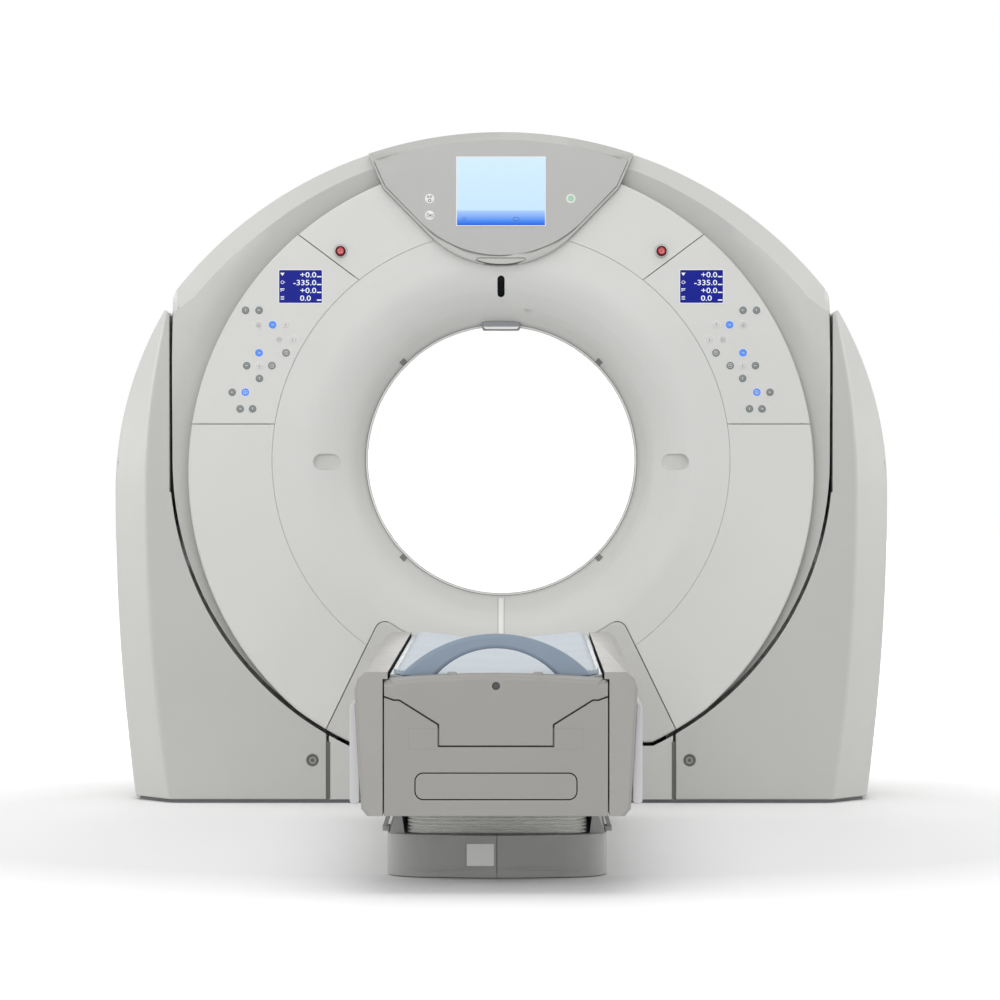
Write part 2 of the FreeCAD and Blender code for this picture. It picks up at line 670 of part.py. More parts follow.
def shroud():
    """The band round both discs: outer slope, crease and dished inner band in one hollow hoop."""

    def body(inset):
        rim_y = HALF_DEPTH - inset
        slope_y = HALF_DEPTH - CREASE_DEPTH
        wires = []
        for y in (-rim_y, -slope_y, slope_y, rim_y):
            bent = abs(y) == rim_y
            top = inset + (CREASE_TOP if bent else 0)
            side = inset + (CREASE_SIDE if bent else 0)
            low = inset + (CREASE_LOW if bent else 0)
            wires.append(housing_wire(y, top, side, low, inset))
        return Part.makeLoft(wires, True, True)

    outside = body(0.0)
    behind_recess = recess(SHROUD_WALL + 1)
    hollow = body(SHROUD_WALL).cut(behind_recess).cut(turned_back(behind_recess))
    hoop = outside.cut(hollow)
    seat_y = FRONT_Y + DISC_RETURN + SEAT
    opening = prism_y(disc_face(-SEAM), FRONT_Y - 10, seat_y + REBATE_T)
    hoop = hoop.cut(opening).cut(turned_back(opening))
    edge = disc_face(-SEAM - REBATE_T)
    rebate = prism_y(edge, FRONT_Y + 1, seat_y + REBATE_T).cut(prism_y(disc_face(-SEAM), FRONT_Y, seat_y))
    rebate = rebate.cut(prism_y(disc_face(REBATE_LIP), FRONT_Y, seat_y + REBATE_T + 1)).common(outside)
    hoop = hoop.fuse([rebate, turned_back(rebate)])
    console = prism_y(grown(console_region(), HAIR_SEAM), FRONT_Y - 40, FRONT_Y + CONSOLE_BACK + SEAM)
    hoop = hoop.cut(console)
    hoop = hoop.cut(recess(0.0)).cut(turned_back(recess(0.0)))
    hoop = hoop.cut(cylinder_x(0, ISO_Z, TRUNNION_R + SEAM, -HOUSE_HALF_W - 1, HOUSE_HALF_W + 1))
    save(one(hoop), "outer_shroud")


def console():
    face = console_region().common(housing_face(SEAM)).Faces[0]
    front = FRONT_Y - CONSOLE_PROUD
    block = prism_y(face, front, FRONT_Y + CONSOLE_BACK)
    block = block.makeChamfer(4, edges_where(block, lambda b: b.YMax < front + 0.01))
    tongue_y = FRONT_Y + WALL + SEAT
    tongue = grown(console_region(), CONSOLE_TONGUE).common(disc_face(WALL + 2)).Faces[0]
    tongue = prism_y(tongue, tongue_y, tongue_y + WALL)
    tongue = tongue.cut(cylinder_y(0, ISO_Z, FLARE_JOINT_R + SEAT, FRONT_Y, 0))
    fascia = console_region(FASCIA_LOW_DZ, FASCIA_R, CONSOLE_RIM).common(housing_face(FASCIA_BROW)).Faces[0]
    sunk = prism_y(fascia, front - 1, front + CONSOLE_SINK)
    block = block.cut(sunk)
    pocket_y = front + CONSOLE_SINK + 3
    half_w, half_h = SCREEN_W / 2, SCREEN_H / 2
    z = ISO_Z + SCREEN_DZ
    block = block.cut(box(-half_w, half_w, front - 1, pocket_y, z - half_h, z + half_h))
    half_w, half_h = half_w - SEAT, half_h - SEAT
    screen = box(-half_w, half_w, front + CONSOLE_SINK - 1.5, pocket_y - 0.1, z - half_h, z + half_h)
    crescent_r = CRESCENT_HALF * 3
    low_z = ISO_Z + CRESCENT_DZ - 11
    crescent = oval(0, ISO_Z + CRESCENT_DZ, 2 * CRESCENT_HALF, 20, front - 1, front + 3)
    crescent = crescent.common(cylinder_y(0, low_z + crescent_r, crescent_r, front - 2, front + 4))
    block = block.cut(crescent)
    key = cylinder_y(CONSOLE_KEY_X, ISO_Z + CONSOLE_KEY_DZ, CONSOLE_KEY_R, front + 2, pocket_y)
    block = block.cut(key)
    key = cylinder_y(CONSOLE_KEY_X, ISO_Z + CONSOLE_KEY_DZ, CONSOLE_KEY_R - SEAT, front + 3, pocket_y - 0.1)
    cavity = prism_y(grown(face, -CONSOLE_RIM - 2 * WALL), pocket_y + WALL, FRONT_Y + CONSOLE_BACK + 1)
    save(one(block.fuse(tongue).cut(cavity)), "console_housing")
    save(screen, "console_screen")
    save(key, "console_key")


def tunnel_window():
    """Liner of the whole tunnel, thin at its middle, where the rays pass."""
    end = -lip_y() - LINER_SINK
    outer = BORE_R + LIP_STEP - SEAT
    thin = BORE_R + WINDOW_T
    section = [(BORE_R, -end), (outer, -end), (outer, -WINDOW_HALF), (thin, -WINDOW_HALF)]
    section += [(thin, WINDOW_HALF), (outer, WINDOW_HALF), (outer, end), (BORE_R, end)]
    save(turned(section), "scan_window")


# ---------------------------------------------------------------- tilt frame and rotor
def tilt_frame():
    plate = tube_y(FRAME_HOLE_R, FRAME_R, FRAME_Y, FRAME_Y + FRAME_T)
    bottom = ISO_Z - HOUSE_BOTTOM + SHROUD_WALL + SEAT
    frame = plate
    for side in (-1, 1):
        x0, x1 = sorted((side * FOOT_X, side * (FOOT_X + 90)))
        frame = frame.fuse(box(x0, x1, FRAME_Y, FRAME_Y + FRAME_T, bottom, bottom + 110))
        x0, x1 = sorted((side * (FRAME_R - 90), side * (ARM_X + ARM_T)))
        arm = box(x0, x1, FRAME_Y, FRAME_Y + FRAME_T, ISO_Z - ARM_HALF_H, ISO_Z + ARM_HALF_H)
        x0, x1 = sorted((side * ARM_X, side * (ARM_X + ARM_T)))
        cheek = Part.Face(
            Part.makePolygon(
                [
                    V(x0, FRAME_Y + FRAME_T, ISO_Z - ARM_HALF_H),
                    V(x0, FRAME_Y + FRAME_T, ISO_Z + ARM_HALF_H),
                    V(x0, -60, ISO_Z + 130),
                    V(x0, -130, ISO_Z + 60),
                    V(x0, -130, ISO_Z - 60),
                    V(x0, -60, ISO_Z - 130),
                    V(x0, FRAME_Y + FRAME_T, ISO_Z - ARM_HALF_H),
                ]
            )
        ).extrude(V(x1 - x0, 0, 0))
        hub_end = HOUSE_HALF_W - SHROUD_WALL - 6
        x0, x1 = sorted((side * (ARM_X + ARM_T - 1), side * hub_end))
        hub = cylinder_x(0, ISO_Z, TRUNNION_R + 30, x0, x1)
        x0, x1 = sorted((side * ARM_X, side * TRUNNION_END))
        shaft = cylinder_x(0, ISO_Z, TRUNNION_R, x0, x1)
        frame = frame.fuse([arm, cheek, hub, shaft])
    for angle in (30, 60, 120, 150, 210, 240, 300, 330):
        hole = box(665, 735, FRAME_Y - 1, FRAME_Y + FRAME_T + 1, ISO_Z - 55, ISO_Z + 55)
        hole.rotate(V(0, 0, ISO_Z), V(0, 1, 0), angle)
        frame = frame.cut(hole)
    save(one(frame), "tilt_frame")
    race = tube_y(BEARING_IN_R, BEARING_OUT_R, DRUM_PLATE_Y + DRUM_PLATE_T + 1, FRAME_Y)
    save(race, "main_bearing")


def rotor():
    plate_back = DRUM_PLATE_Y + DRUM_PLATE_T
    drum = tube_y(DRUM_IN_R, DRUM_OUT_R, DRUM_PLATE_Y, plate_back)
    drum = drum.fuse(tube_y(DRUM_OUT_R - DRUM_SKIN, DRUM_OUT_R, DRUM_FRONT_Y, DRUM_PLATE_Y + 1))
    journal_r = BEARING_IN_R - BEARING_GAP
    drum = drum.fuse(tube_y(journal_r - 30, journal_r, plate_back - 1, FRAME_Y - 2))
    for angle in (22, 66, 158, 202, 246, 294, 338):
        hole = box(590, 690, DRUM_PLATE_Y - 1, plate_back + 1, ISO_Z - 40, ISO_Z + 40)
        hole.rotate(V(0, 0, ISO_Z), V(0, 1, 0), angle)
        drum = drum.cut(hole)
    save(one(drum), "rotor_drum")

    seat_y = DRUM_PLATE_Y
    z = ISO_Z + FOCUS_DZ
    tube = cylinder_y(0, z, TUBE_R, DRUM_FRONT_Y + 20, seat_y)
    tube = tube.fuse(cylinder_y(0, z, TUBE_R - 25, DRUM_FRONT_Y - 10, DRUM_FRONT_Y + 21))
    tube = tube.fuse(box(-120, 120, seat_y - 60, seat_y, z - 40, z + 40))
    for side in (-1, 1):
        tube = tube.fuse(cylinder_x(-60, z + 10, 22, min(0, side * 150), max(0, side * 150)))
    save(one(tube), "xray_tube")

    top = z - TUBE_R - SEAT
    low = ISO_Z + DRUM_IN_R + DRUM_SKIN + 2
    wedge = polygon_xz([(-70, top), (70, top), (125, low), (-125, low)])
    collimator = prism_y(wedge, -50, seat_y)
    slit = prism_y(polygon_xz([(-40, top + 1), (40, top + 1), (100, low - 1), (-100, low - 1)]), -6, 6)
    save(collimator.cut(slit), "collimator")

    half = math.radians(DETECTOR_HALF_ANGLE)

    def fan(r, angle):
        return V(r * math.sin(angle), 0, z - r * math.cos(angle))

    near, far = DETECTOR_DIST, DETECTOR_DIST + DETECTOR_T
    wire = Part.Wire(
        [
            arc(fan(near, -half), fan(near, 0), fan(near, half)),
            line(fan(near, half), fan(far, half)),
            arc(fan(far, half), fan(far, 0), fan(far, -half)),
            line(fan(far, -half), fan(near, -half)),
        ]
    )
    detector = prism_y(Part.Face(wire), -80, seat_y)
    save(detector, "detector_array")

    generator = rounded_slab(
        -UNIT_OUT_X, -UNIT_IN_X, -110, seat_y, ISO_Z - UNIT_HALF_H, ISO_Z + UNIT_HALF_H, 12, V(0, 1, 0)
    )
    save(generator, "hv_generator")
    cooler = box(UNIT_IN_X, UNIT_OUT_X, -110, seat_y, ISO_Z - UNIT_HALF_H, ISO_Z + UNIT_HALF_H)
    pitch = 2 * UNIT_HALF_H / 10
    for i in range(9):
        fin_z = ISO_Z - UNIT_HALF_H + pitch * (i + 1)
        cooler = cooler.cut(box(UNIT_IN_X + 20, UNIT_OUT_X - 20, -111, -40, fin_z - 6, fin_z + 6))
    save(cooler, "cooling_unit")

    weights = []
    for side in (-1, 1):
        weight = box(-60, 60, -60, seat_y, ISO_Z + 560, ISO_Z + 690)
        weight.rotate(V(0, 0, ISO_Z), V(0, 1, 0), 180 + side * WEIGHT_ANGLE)
        weights.append(weight)
    save(Part.makeCompound(weights), "counterweights")
    save(tube_y(SLIP_IN_R, SLIP_OUT_R, plate_back, plate_back + SLIP_T), "slip_ring")


# ---------------------------------------------------------------- stand
def wing_wire(y, slope, inset):
    """Outline of the right side cover across the machine at one depth."""
    bottom = COVER_BOTTOM - 2 * inset
    inner = FOOT_INNER_X + SEAM / 2 + inset
    edge_x = WING_X + inset
    waist_x = WING_X + WING_WAIST_W - slope - inset
    foot_x = WING_X + WING_FOOT_W - slope * 1.1 - inset
    upper_x = WING_X + WING_UPPER_MID[0] - slope * 0.75 - inset
    upper_z = ISO_Z + WING_UPPER_MID[1]
    lower_x = WING_X + WING_LOWER_MID[0] - slope * 1.03 - inset
    lower_z = ISO_Z + WING_LOWER_MID[1]
    tip_x = WING_X + WING_TIP[0] - slope * 0.17 - inset
    tip_z = ISO_Z + WING_TIP[1] - slope * 0.06
    if inset:
        tip_x = max(tip_x + (upper_x - tip_x) * 0.25, edge_x + 2)
        tip_z -= inset * 10
    tip = V(tip_x, y, tip_z)
    foot = V(foot_x, y, bottom)
    waist = V(waist_x, y, WING_WAIST_Z)
    corner = V(edge_x, y, tip_z - 16)
    return Part.Wire(
        [
            line(V(inner, y, bottom), foot),
            arc(foot, V(lower_x, y, lower_z), waist),
            arc(waist, V(upper_x, y, upper_z), tip),
            line(tip, corner),
            line(corner, V(edge_x, y, WING_WAIST_Z)),
            line(V(edge_x, y, WING_WAIST_Z), V(inner, y, WING_WAIST_Z)),
            line(V(inner, y, WING_WAIST_Z), V(inner, y, bottom)),
        ]
    )


def wing_body(inset):
    front = HALF_DEPTH - inset
    back = HALF_DEPTH - WING_SLOPE_DEPTH
    wires = [
        wing_wire(-front, WING_SLOPE_W, inset),
        wing_wire(-back, 0.0, inset),
        wing_wire(back, 0.0, inset),
        wing_wire(front, WING_SLOPE_W, inset),
    ]
    body = Part.makeLoft(wires, True, True)
    edge = WING_X + inset
    body = body.cut(sweep_void(HOUSING_GAP + inset)).cut(outline_void(HOUSING_GAP + inset))
    far = HALF_DEPTH + 10
    return body.cut(box(0, edge, -far, far, ISO_Z + LOWER_DZ - 40, 3 * ISO_Z))


def side_covers():
    shell = wing_body(0.0).cut(wing_body(WALL))
    shell = shell.cut(cylinder_x(0, ISO_Z, TRUNNION_R + 15, HOUSE_HALF_W, HOUSE_HALF_W + 40))
    for side in (-1, 1):
        shell = shell.cut(beam_way(side))
    cap_y = FRONT_Y + WALL
    wide, far, high = WING_X + WING_WAIST_W + 10, HALF_DEPTH + 10, 2 * ISO_Z
    front = shell.cut(box(0, wide, WING_SPLIT_Y - SEAM / 2, far, 0, high))
    rear = shell.cut(box(0, wide, -far, WING_SPLIT_Y + SEAM / 2, 0, high))
    boss = cylinder_y(CAP_X, CAP_Z, CAP_R + 5, FRONT_Y + 1, FRONT_Y + 22)
    front = front.fuse(boss).cut(cylinder_y(CAP_X, CAP_Z, CAP_R, FRONT_Y - 1, FRONT_Y + 14))
    front = one(front)
    save(front, "side_cover_right_front")
    save(mirrored(front), "side_cover_left_front")
    save(rear, "side_cover_right_rear")
    save(mirrored(rear), "side_cover_left_rear")
    cap = cylinder_y(CAP_X, CAP_Z, CAP_R - SEAT, cap_y, FRONT_Y + 14)
    cap = cap.cut(cylinder_y(CAP_X, CAP_Z, 5, cap_y - 1, cap_y + 4))
    save(Part.makeCompound([cap, mirrored(cap)]), "cover_caps")


def beam_way(side):
    """Opening in the covers' walls that the base frame's beam runs through."""
    near, far = sorted((side * (BEAM_Y - BEAM_GAP), side * (BEAM_Y + BEAM_W + BEAM_GAP)))
    half = FOOT_INNER_X + SEAM + WALL + 20
    return box(-half, half, near, far, 0, BEAM_TOP + BEAM_GAP)


def base_covers():
    half = FOOT_INNER_X + SEAM / 2 - BASE_SEAM
    high = ISO_Z - HOUSE_BOTTOM + 60
    outer = box(-half, half, FRONT_Y, FRONT_Y + 60, COVER_BOTTOM, high)
    outer = outer.cut(sweep_void(HOUSING_GAP)).cut(outline_void(HOUSING_GAP))
    hollow = box(-half + WALL, half - WALL, FRONT_Y + WALL, FRONT_Y + 61, COVER_BOTTOM - 1, high)
    hollow = hollow.cut(sweep_void(HOUSING_GAP + WALL)).cut(outline_void(HOUSING_GAP + WALL))
    cover = outer.cut(hollow).cut(beam_way(-1))
    lip_x = FOOT_INNER_X + SEAM / 2 - SEAT
    lip_y0 = FRONT_Y + WALL - 1
    swept_r = LOWER_R + HOUSING_GAP
    lip_top = ISO_Z - math.sqrt(swept_r**2 - (lip_x - HOUSE_HALF_W + LOWER_R) ** 2) - LIP_DROP
    for side in (-1, 1):
        x0, x1 = sorted((side * (half - WALL), side * lip_x))
        cover = cover.fuse(box(x0, x1, lip_y0, lip_y0 + WALL, COVER_BOTTOM, lip_top))
    save(Part.makeCompound([cover, turned_back(cover)]), "base_covers")


def stand():
    t = BASE_PLATE_T
    wide = WING_X + WING_FOOT_W - 14
    narrow = wide - 1.1 * WING_SLOPE_W
    deep = HALF_DEPTH - 10
    shoulder = HALF_DEPTH - WING_SLOPE_DEPTH
    corners = [(narrow, deep), (wide, shoulder), (wide, -shoulder), (narrow, -deep)]
    ring = corners + [(-x, -y) for x, y in corners]
    loop = [V(x, y, 0) for x, y in ring]
    frame = Part.Face(Part.makePolygon(loop + loop[:1])).extrude(V(0, 0, t))
    for side in (-1, 1):
        y0, y1 = sorted((side * BEAM_Y, side * (BEAM_Y + BEAM_W)))
        beam = box(-narrow + 20, narrow - 20, y0, y1, t - 1, BEAM_TOP)
        beam = beam.cut(box(-narrow, narrow, y0 + 8, y1 - 8, t + 8, BEAM_TOP - 8))
        frame = frame.fuse(beam)
    for x in (-ANCHOR_X, ANCHOR_X):
        for y in (-ANCHOR_Y, ANCHOR_Y):
            frame = frame.cut(cylinder_z(x, y, ANCHOR_R, -1, t + 1))
    save(one(frame), "base_frame")

    x0, x1 = PILLAR_X, PILLAR_X + PILLAR_T
    foot, head = PILLAR_HALF_FOOT, PILLAR_HALF_TOP
    outline = Part.Wire(
        [
            line(V(x0, -foot, t), V(x0, foot, t)),
            line(V(x0, foot, t), V(x0, head, ISO_Z)),
            arc(V(x0, head, ISO_Z), V(x0, 0, ISO_Z + head), V(x0, -head, ISO_Z)),
            line(V(x0, -head, ISO_Z), V(x0, -foot, t)),
        ]
    )
    pillar = Part.Face(outline).extrude(V(x1 - x0, 0, 0))
    pillar = pillar.cut(cylinder_x(0, ISO_Z, BEARING_SEAT_R, x0 - 1, x1 + 1))
    for z0, z1, half in ((90, 300, 120), (350, 560, 100), (610, 800, 80)):
        window = box(x0 - 1, x1 + 1, -half, half, z0, z1)
        window = window.makeChamfer(25, edges_where(window, lambda b: b.YLength + b.ZLength < 0.01))
        pillar = pillar.cut(window)
    bearing = cylinder_x(0, ISO_Z, BEARING_SEAT_R - 0.1, x0 - 5, x1 + 1)
    bearing = bearing.fuse(cylinder_x(0, ISO_Z, BEARING_FLANGE_R, x1 + 0.1, x1 + 14))
    bearing = bearing.cut(cylinder_x(0, ISO_Z, TRUNNION_R + RUN, x0 - 6, x1 + 15))
    save(pillar, "stand_pillar_right")
    save(mirrored(pillar), "stand_pillar_left")
    save(Part.makeCompound([bearing, mirrored(bearing)]), "tilt_bearings")
    gear_x = x1 + 14 + SEAT
    gearbox = cylinder_x(0, ISO_Z, GEARBOX_R, gear_x, gear_x + GEARBOX_T)
    gearbox = gearbox.fuse(box(gear_x, gear_x + GEARBOX_T, MOTOR_Y, 0, ISO_Z - 60, ISO_Z))
    gearbox = gearbox.fuse(cylinder_z(gear_x - 22, MOTOR_Y, MOTOR_R, ISO_Z - 330, ISO_Z - 10))
    save(one(gearbox), "tilt_gearmotor")


# ---------------------------------------------------------------- couch
def couch_cover_section(inset):
    """Section of the right side cover, seen from the near end."""
    i = inset
    return [
        (BODY_SEAM_X + COUCH_SEAM / 2 - i, BODY_BOTTOM + i),
        (BODY_FOOT_X - 14, BODY_BOTTOM + i),
        (BODY_FOOT_X - i, BODY_BOTTOM + 16 + i * 0.4),
        (BODY_HALF_W - i, BODY_TOP - 40),
        (BODY_HALF_W - 6 - i, BODY_TOP - 14),
        (BODY_HALF_W - 26 - i * 0.4, BODY_TOP - i),
        (RIM_IN_X + i, BODY_TOP - i),
        (RIM_IN_X + i, BODY_TOP - 16 - i),
        (BODY_SEAM_X + COUCH_SEAM / 2 - i, BODY_TOP - 16 - i),
    ]


def couch_covers():
    section = couch_cover_section(0.0)
    outer = prism_y(polygon_xz(section), COUCH_NEAR_Y, COUCH_FAR_Y)

    def on_near_rim(b):
        return b.YLength < 0.01 and b.YMax < COUCH_NEAR_Y + 1 and b.XMin > BODY_FOOT_X - 16

    outer = outer.makeFillet(9, edges_where(outer, on_near_rim))
    i = SKIN
    hollow = polygon_xz(
        [
            (BODY_SEAM_X - 40, BODY_BOTTOM + i),
            (BODY_FOOT_X - 16, BODY_BOTTOM + i),
            (BODY_FOOT_X - i, BODY_BOTTOM + 18),
            (BODY_HALF_W - i, BODY_TOP - 41),
            (BODY_HALF_W - 6 - i, BODY_TOP - 16),
            (BODY_HALF_W - 28, BODY_TOP - i),
            (RIM_IN_X + i, BODY_TOP - i),
            (RIM_IN_X + i, BODY_TOP - 30),
            (BODY_SEAM_X - 40, BODY_TOP - 30),
        ]
    )
    cover = outer.cut(prism_y(hollow, COUCH_NEAR_Y + 2 * i, COUCH_FAR_Y - i))
    x0, x1 = BODY_HALF_W - 12, BODY_HALF_W + STRIP_T
    y0, y1 = COUCH_NEAR_Y + 30, COUCH_FAR_Y - 30
    strip = rounded_slab(x0, x1, y0, y1, STRIP_LOW, STRIP_HIGH, 9, V(0, 1, 0))
    strip = strip.cut(outer)
    strip = max(strip.Solids, key=lambda s: s.Volume)
    strip.translate(V(SEAT, 0, 0))
    for suffix, place in (("right", lambda s: s), ("left", mirrored)):
        save(place(cover), "couch_side_cover_" + suffix)
    save(Part.makeCompound([strip, mirrored(strip)]), "bumper_strips")


def end_covers():
    half = BODY_SEAM_X - COUCH_SEAM / 2
    y0, y1 = COUCH_NEAR_Y, COUCH_NEAR_Y + END_T
    top = Part.Wire(
        [
            line(V(-half, 0, BODY_BOTTOM), V(half, 0, BODY_BOTTOM)),
            line(V(half, 0, BODY_BOTTOM), V(half, 0, BODY_TOP - 18)),
            line(V(half, 0, BODY_TOP - 18), V(RIM_IN_X - SEAM, 0, BODY_TOP - 18)),
            line(V(RIM_IN_X - SEAM, 0, BODY_TOP - 18), V(RIM_IN_X - SEAM, 0, LID_SIDE)),
            arc(V(RIM_IN_X - SEAM, 0, LID_SIDE), V(0, 0, LID_CROWN), V(-RIM_IN_X + SEAM, 0, LID_SIDE)),
            line(V(-RIM_IN_X + SEAM, 0, LID_SIDE), V(-RIM_IN_X + SEAM, 0, BODY_TOP - 18)),
            line(V(-RIM_IN_X + SEAM, 0, BODY_TOP - 18), V(-half, 0, BODY_TOP - 18)),
            line(V(-half, 0, BODY_TOP - 18), V(-half, 0, BODY_BOTTOM)),
        ]
    )
    end = prism_y(Part.Face(top), y0, y1)
    over = [(x + (20 if i == 0 else 0), z) for i, (x, z) in enumerate(LID_SEAM)]
    above = over + [(-x, z) for x, z in reversed(over)] + [(-600, 465), (-600, 700), (600, 700), (600, 465)]
    seam_face = polygon_xz(above)
    lid = end.common(prism_y(seam_face, y0 - 1, y1 + 1))
    cover = end.cut(prism_y(grown(seam_face, COUCH_SEAM), y0 - 1, y1 + 1))
    lid = lid.cut(box(-half + SKIN, half - SKIN, y0 + SKIN + 2, y1 + 1, 300, LID_SIDE - SKIN))
    lid = lid.cut(cylinder_y(0, 480, 8.5, y0 - 1, y1))
    hw, low, high = PLATE_HALF_W, PLATE_LOW, PLATE_HIGH
    groove = rounded_slab(-hw, hw, y0 - 1, y0 + GROOVE_DEPTH, low, high, PLATE_R, V(0, 1, 0))
    hw, low, high = hw - GROOVE, low + GROOVE, high - GROOVE
    middle = rounded_slab(-hw, hw, y0 - 2, y0 + GROOVE_DEPTH + 1, low, high, PLATE_R - GROOVE, V(0, 1, 0))
    groove = groove.cut(middle)
    cover = cover.cut(groove)
    cover = cover.cut(box(-half + SKIN, half - SKIN, y0 + SKIN + 2, y1 + 1, BODY_BOTTOM + SKIN, LID_SIDE))
    save(lid, "end_lid")
    save(cover, "end_cover")
    y0, y1, high = COUCH_FAR_Y - END_T, COUCH_FAR_Y, TABLE_LOW - 8
    far = box(-half, half, y0, y1, BODY_BOTTOM, high)
    far = far.cut(box(-half + SKIN, half - SKIN, y0 - 1, y1 - SKIN, 0, high - SKIN))
    save(far, "far_end_cover")


def couch_frame():
    side_x = BODY_SEAM_X - 8
    y0 = COUCH_NEAR_Y + END_T + SEAT
    y1 = COUCH_FAR_Y - END_T - SEAT
    floor_z = BODY_BOTTOM + 8
    frame = box(-side_x, side_x, y0, y1, floor_z, floor_z + 8)
    for side in (-1, 1):
        x0, x1 = sorted((side * (side_x - 8), side * side_x))
        frame = frame.fuse(box(x0, x1, y0, y1, floor_z, RAIL_LOW))
        x0, x1 = sorted((side * (RAIL_X - 20), side * side_x))
        frame = frame.fuse(box(x0, x1, y0, y1, RAIL_LOW - 10, RAIL_LOW))
        for y in (y0 + 40, COLUMN_Y - 420, COLUMN_Y + 420, y1 - 120):
            x0, x1 = sorted((side * (side_x - 1), side * (BODY_FOOT_X - SKIN - 14)))
            frame = frame.fuse(box(x0, x1, y, y + 60, BODY_BOTTOM + SKIN + SEAT, BODY_BOTTOM + 40))
    for y in (COLUMN_Y - COLUMN_HALF_Y - 60, COLUMN_Y + COLUMN_HALF_Y, y0, y1 - 60):
        frame = frame.fuse(box(-side_x + 4, side_x - 4, y, y + 60, RAIL_LOW - 10, RAIL_LOW))
    wide, top = BODY_SEAM_X - 3, LID_SIDE - 8
    near = polygon_xz([(-wide, BODY_BOTTOM + 2), (wide, BODY_BOTTOM + 2), (wide, top), (-wide, top)])
    frame = frame.fuse(prism_y(near, y0, COUCH_NEAR_Y + END_T + BULKHEAD_T))
    wide, top = BODY_SEAM_X - 3, TABLE_LOW - 11
    far = polygon_xz([(-wide, BODY_BOTTOM + 2), (wide, BODY_BOTTOM + 2), (wide, top), (-wide, top)])
    frame = frame.fuse(prism_y(far, y1 - BULKHEAD_T, y1))
    clear = COLUMN_PLAY * 3
    hole_x, hole_y = COLUMN_HALF_X + clear, COLUMN_HALF_Y + clear
    frame = frame.cut(
        box(-hole_x, hole_x, COLUMN_Y - hole_y, COLUMN_Y + hole_y, floor_z - 1, floor_z + 9)
    )
    stage_x = COLUMN_HALF_X - 2 * (COLUMN_WALL + COLUMN_PLAY)
    stage_y = COLUMN_HALF_Y - 2 * (COLUMN_WALL + COLUMN_PLAY)
    stage = column(stage_x, stage_y, COLUMN_WALL, 30, COLUMN_TOP + 10)
    reach = COLUMN_HALF_Y + 30
    head = box(-side_x + 4, side_x - 4, COLUMN_Y - reach, COLUMN_Y + reach, COLUMN_TOP + 10, RAIL_LOW)
    frame = frame.fuse([stage, head])
    for side in (-1, 1):
        x = side * RAIL_X
        frame = frame.fuse(box(x - RAIL_W / 2, x + RAIL_W / 2, y0 + 10, y1 - 10, RAIL_LOW - 1, RAIL_HIGH))
    save(one(frame), "couch_frame")


def column(half_x, half_y, wall, z0, z1):
    outer = box(-half_x, half_x, COLUMN_Y - half_y, COLUMN_Y + half_y, z0, z1)
    inner = box(
        -half_x + wall, half_x - wall, COLUMN_Y - half_y + wall, COLUMN_Y + half_y - wall, z0 - 1, z1 + 1
    )
    return outer.cut(inner)


def lift_columns():
    fixed = column(COLUMN_HALF_X, COLUMN_HALF_Y, COLUMN_WALL, COUCH_PLATE_T, COLUMN_TOP)
    save(fixed, "lift_column_base")
    step = COLUMN_WALL + COLUMN_PLAY
    half_x, half_y = COLUMN_HALF_X - step, COLUMN_HALF_Y - step
    middle = column(half_x, half_y, COLUMN_WALL, COUCH_PLATE_T + 4, COLUMN_TOP + 5)
    save(middle, "lift_column_middle")


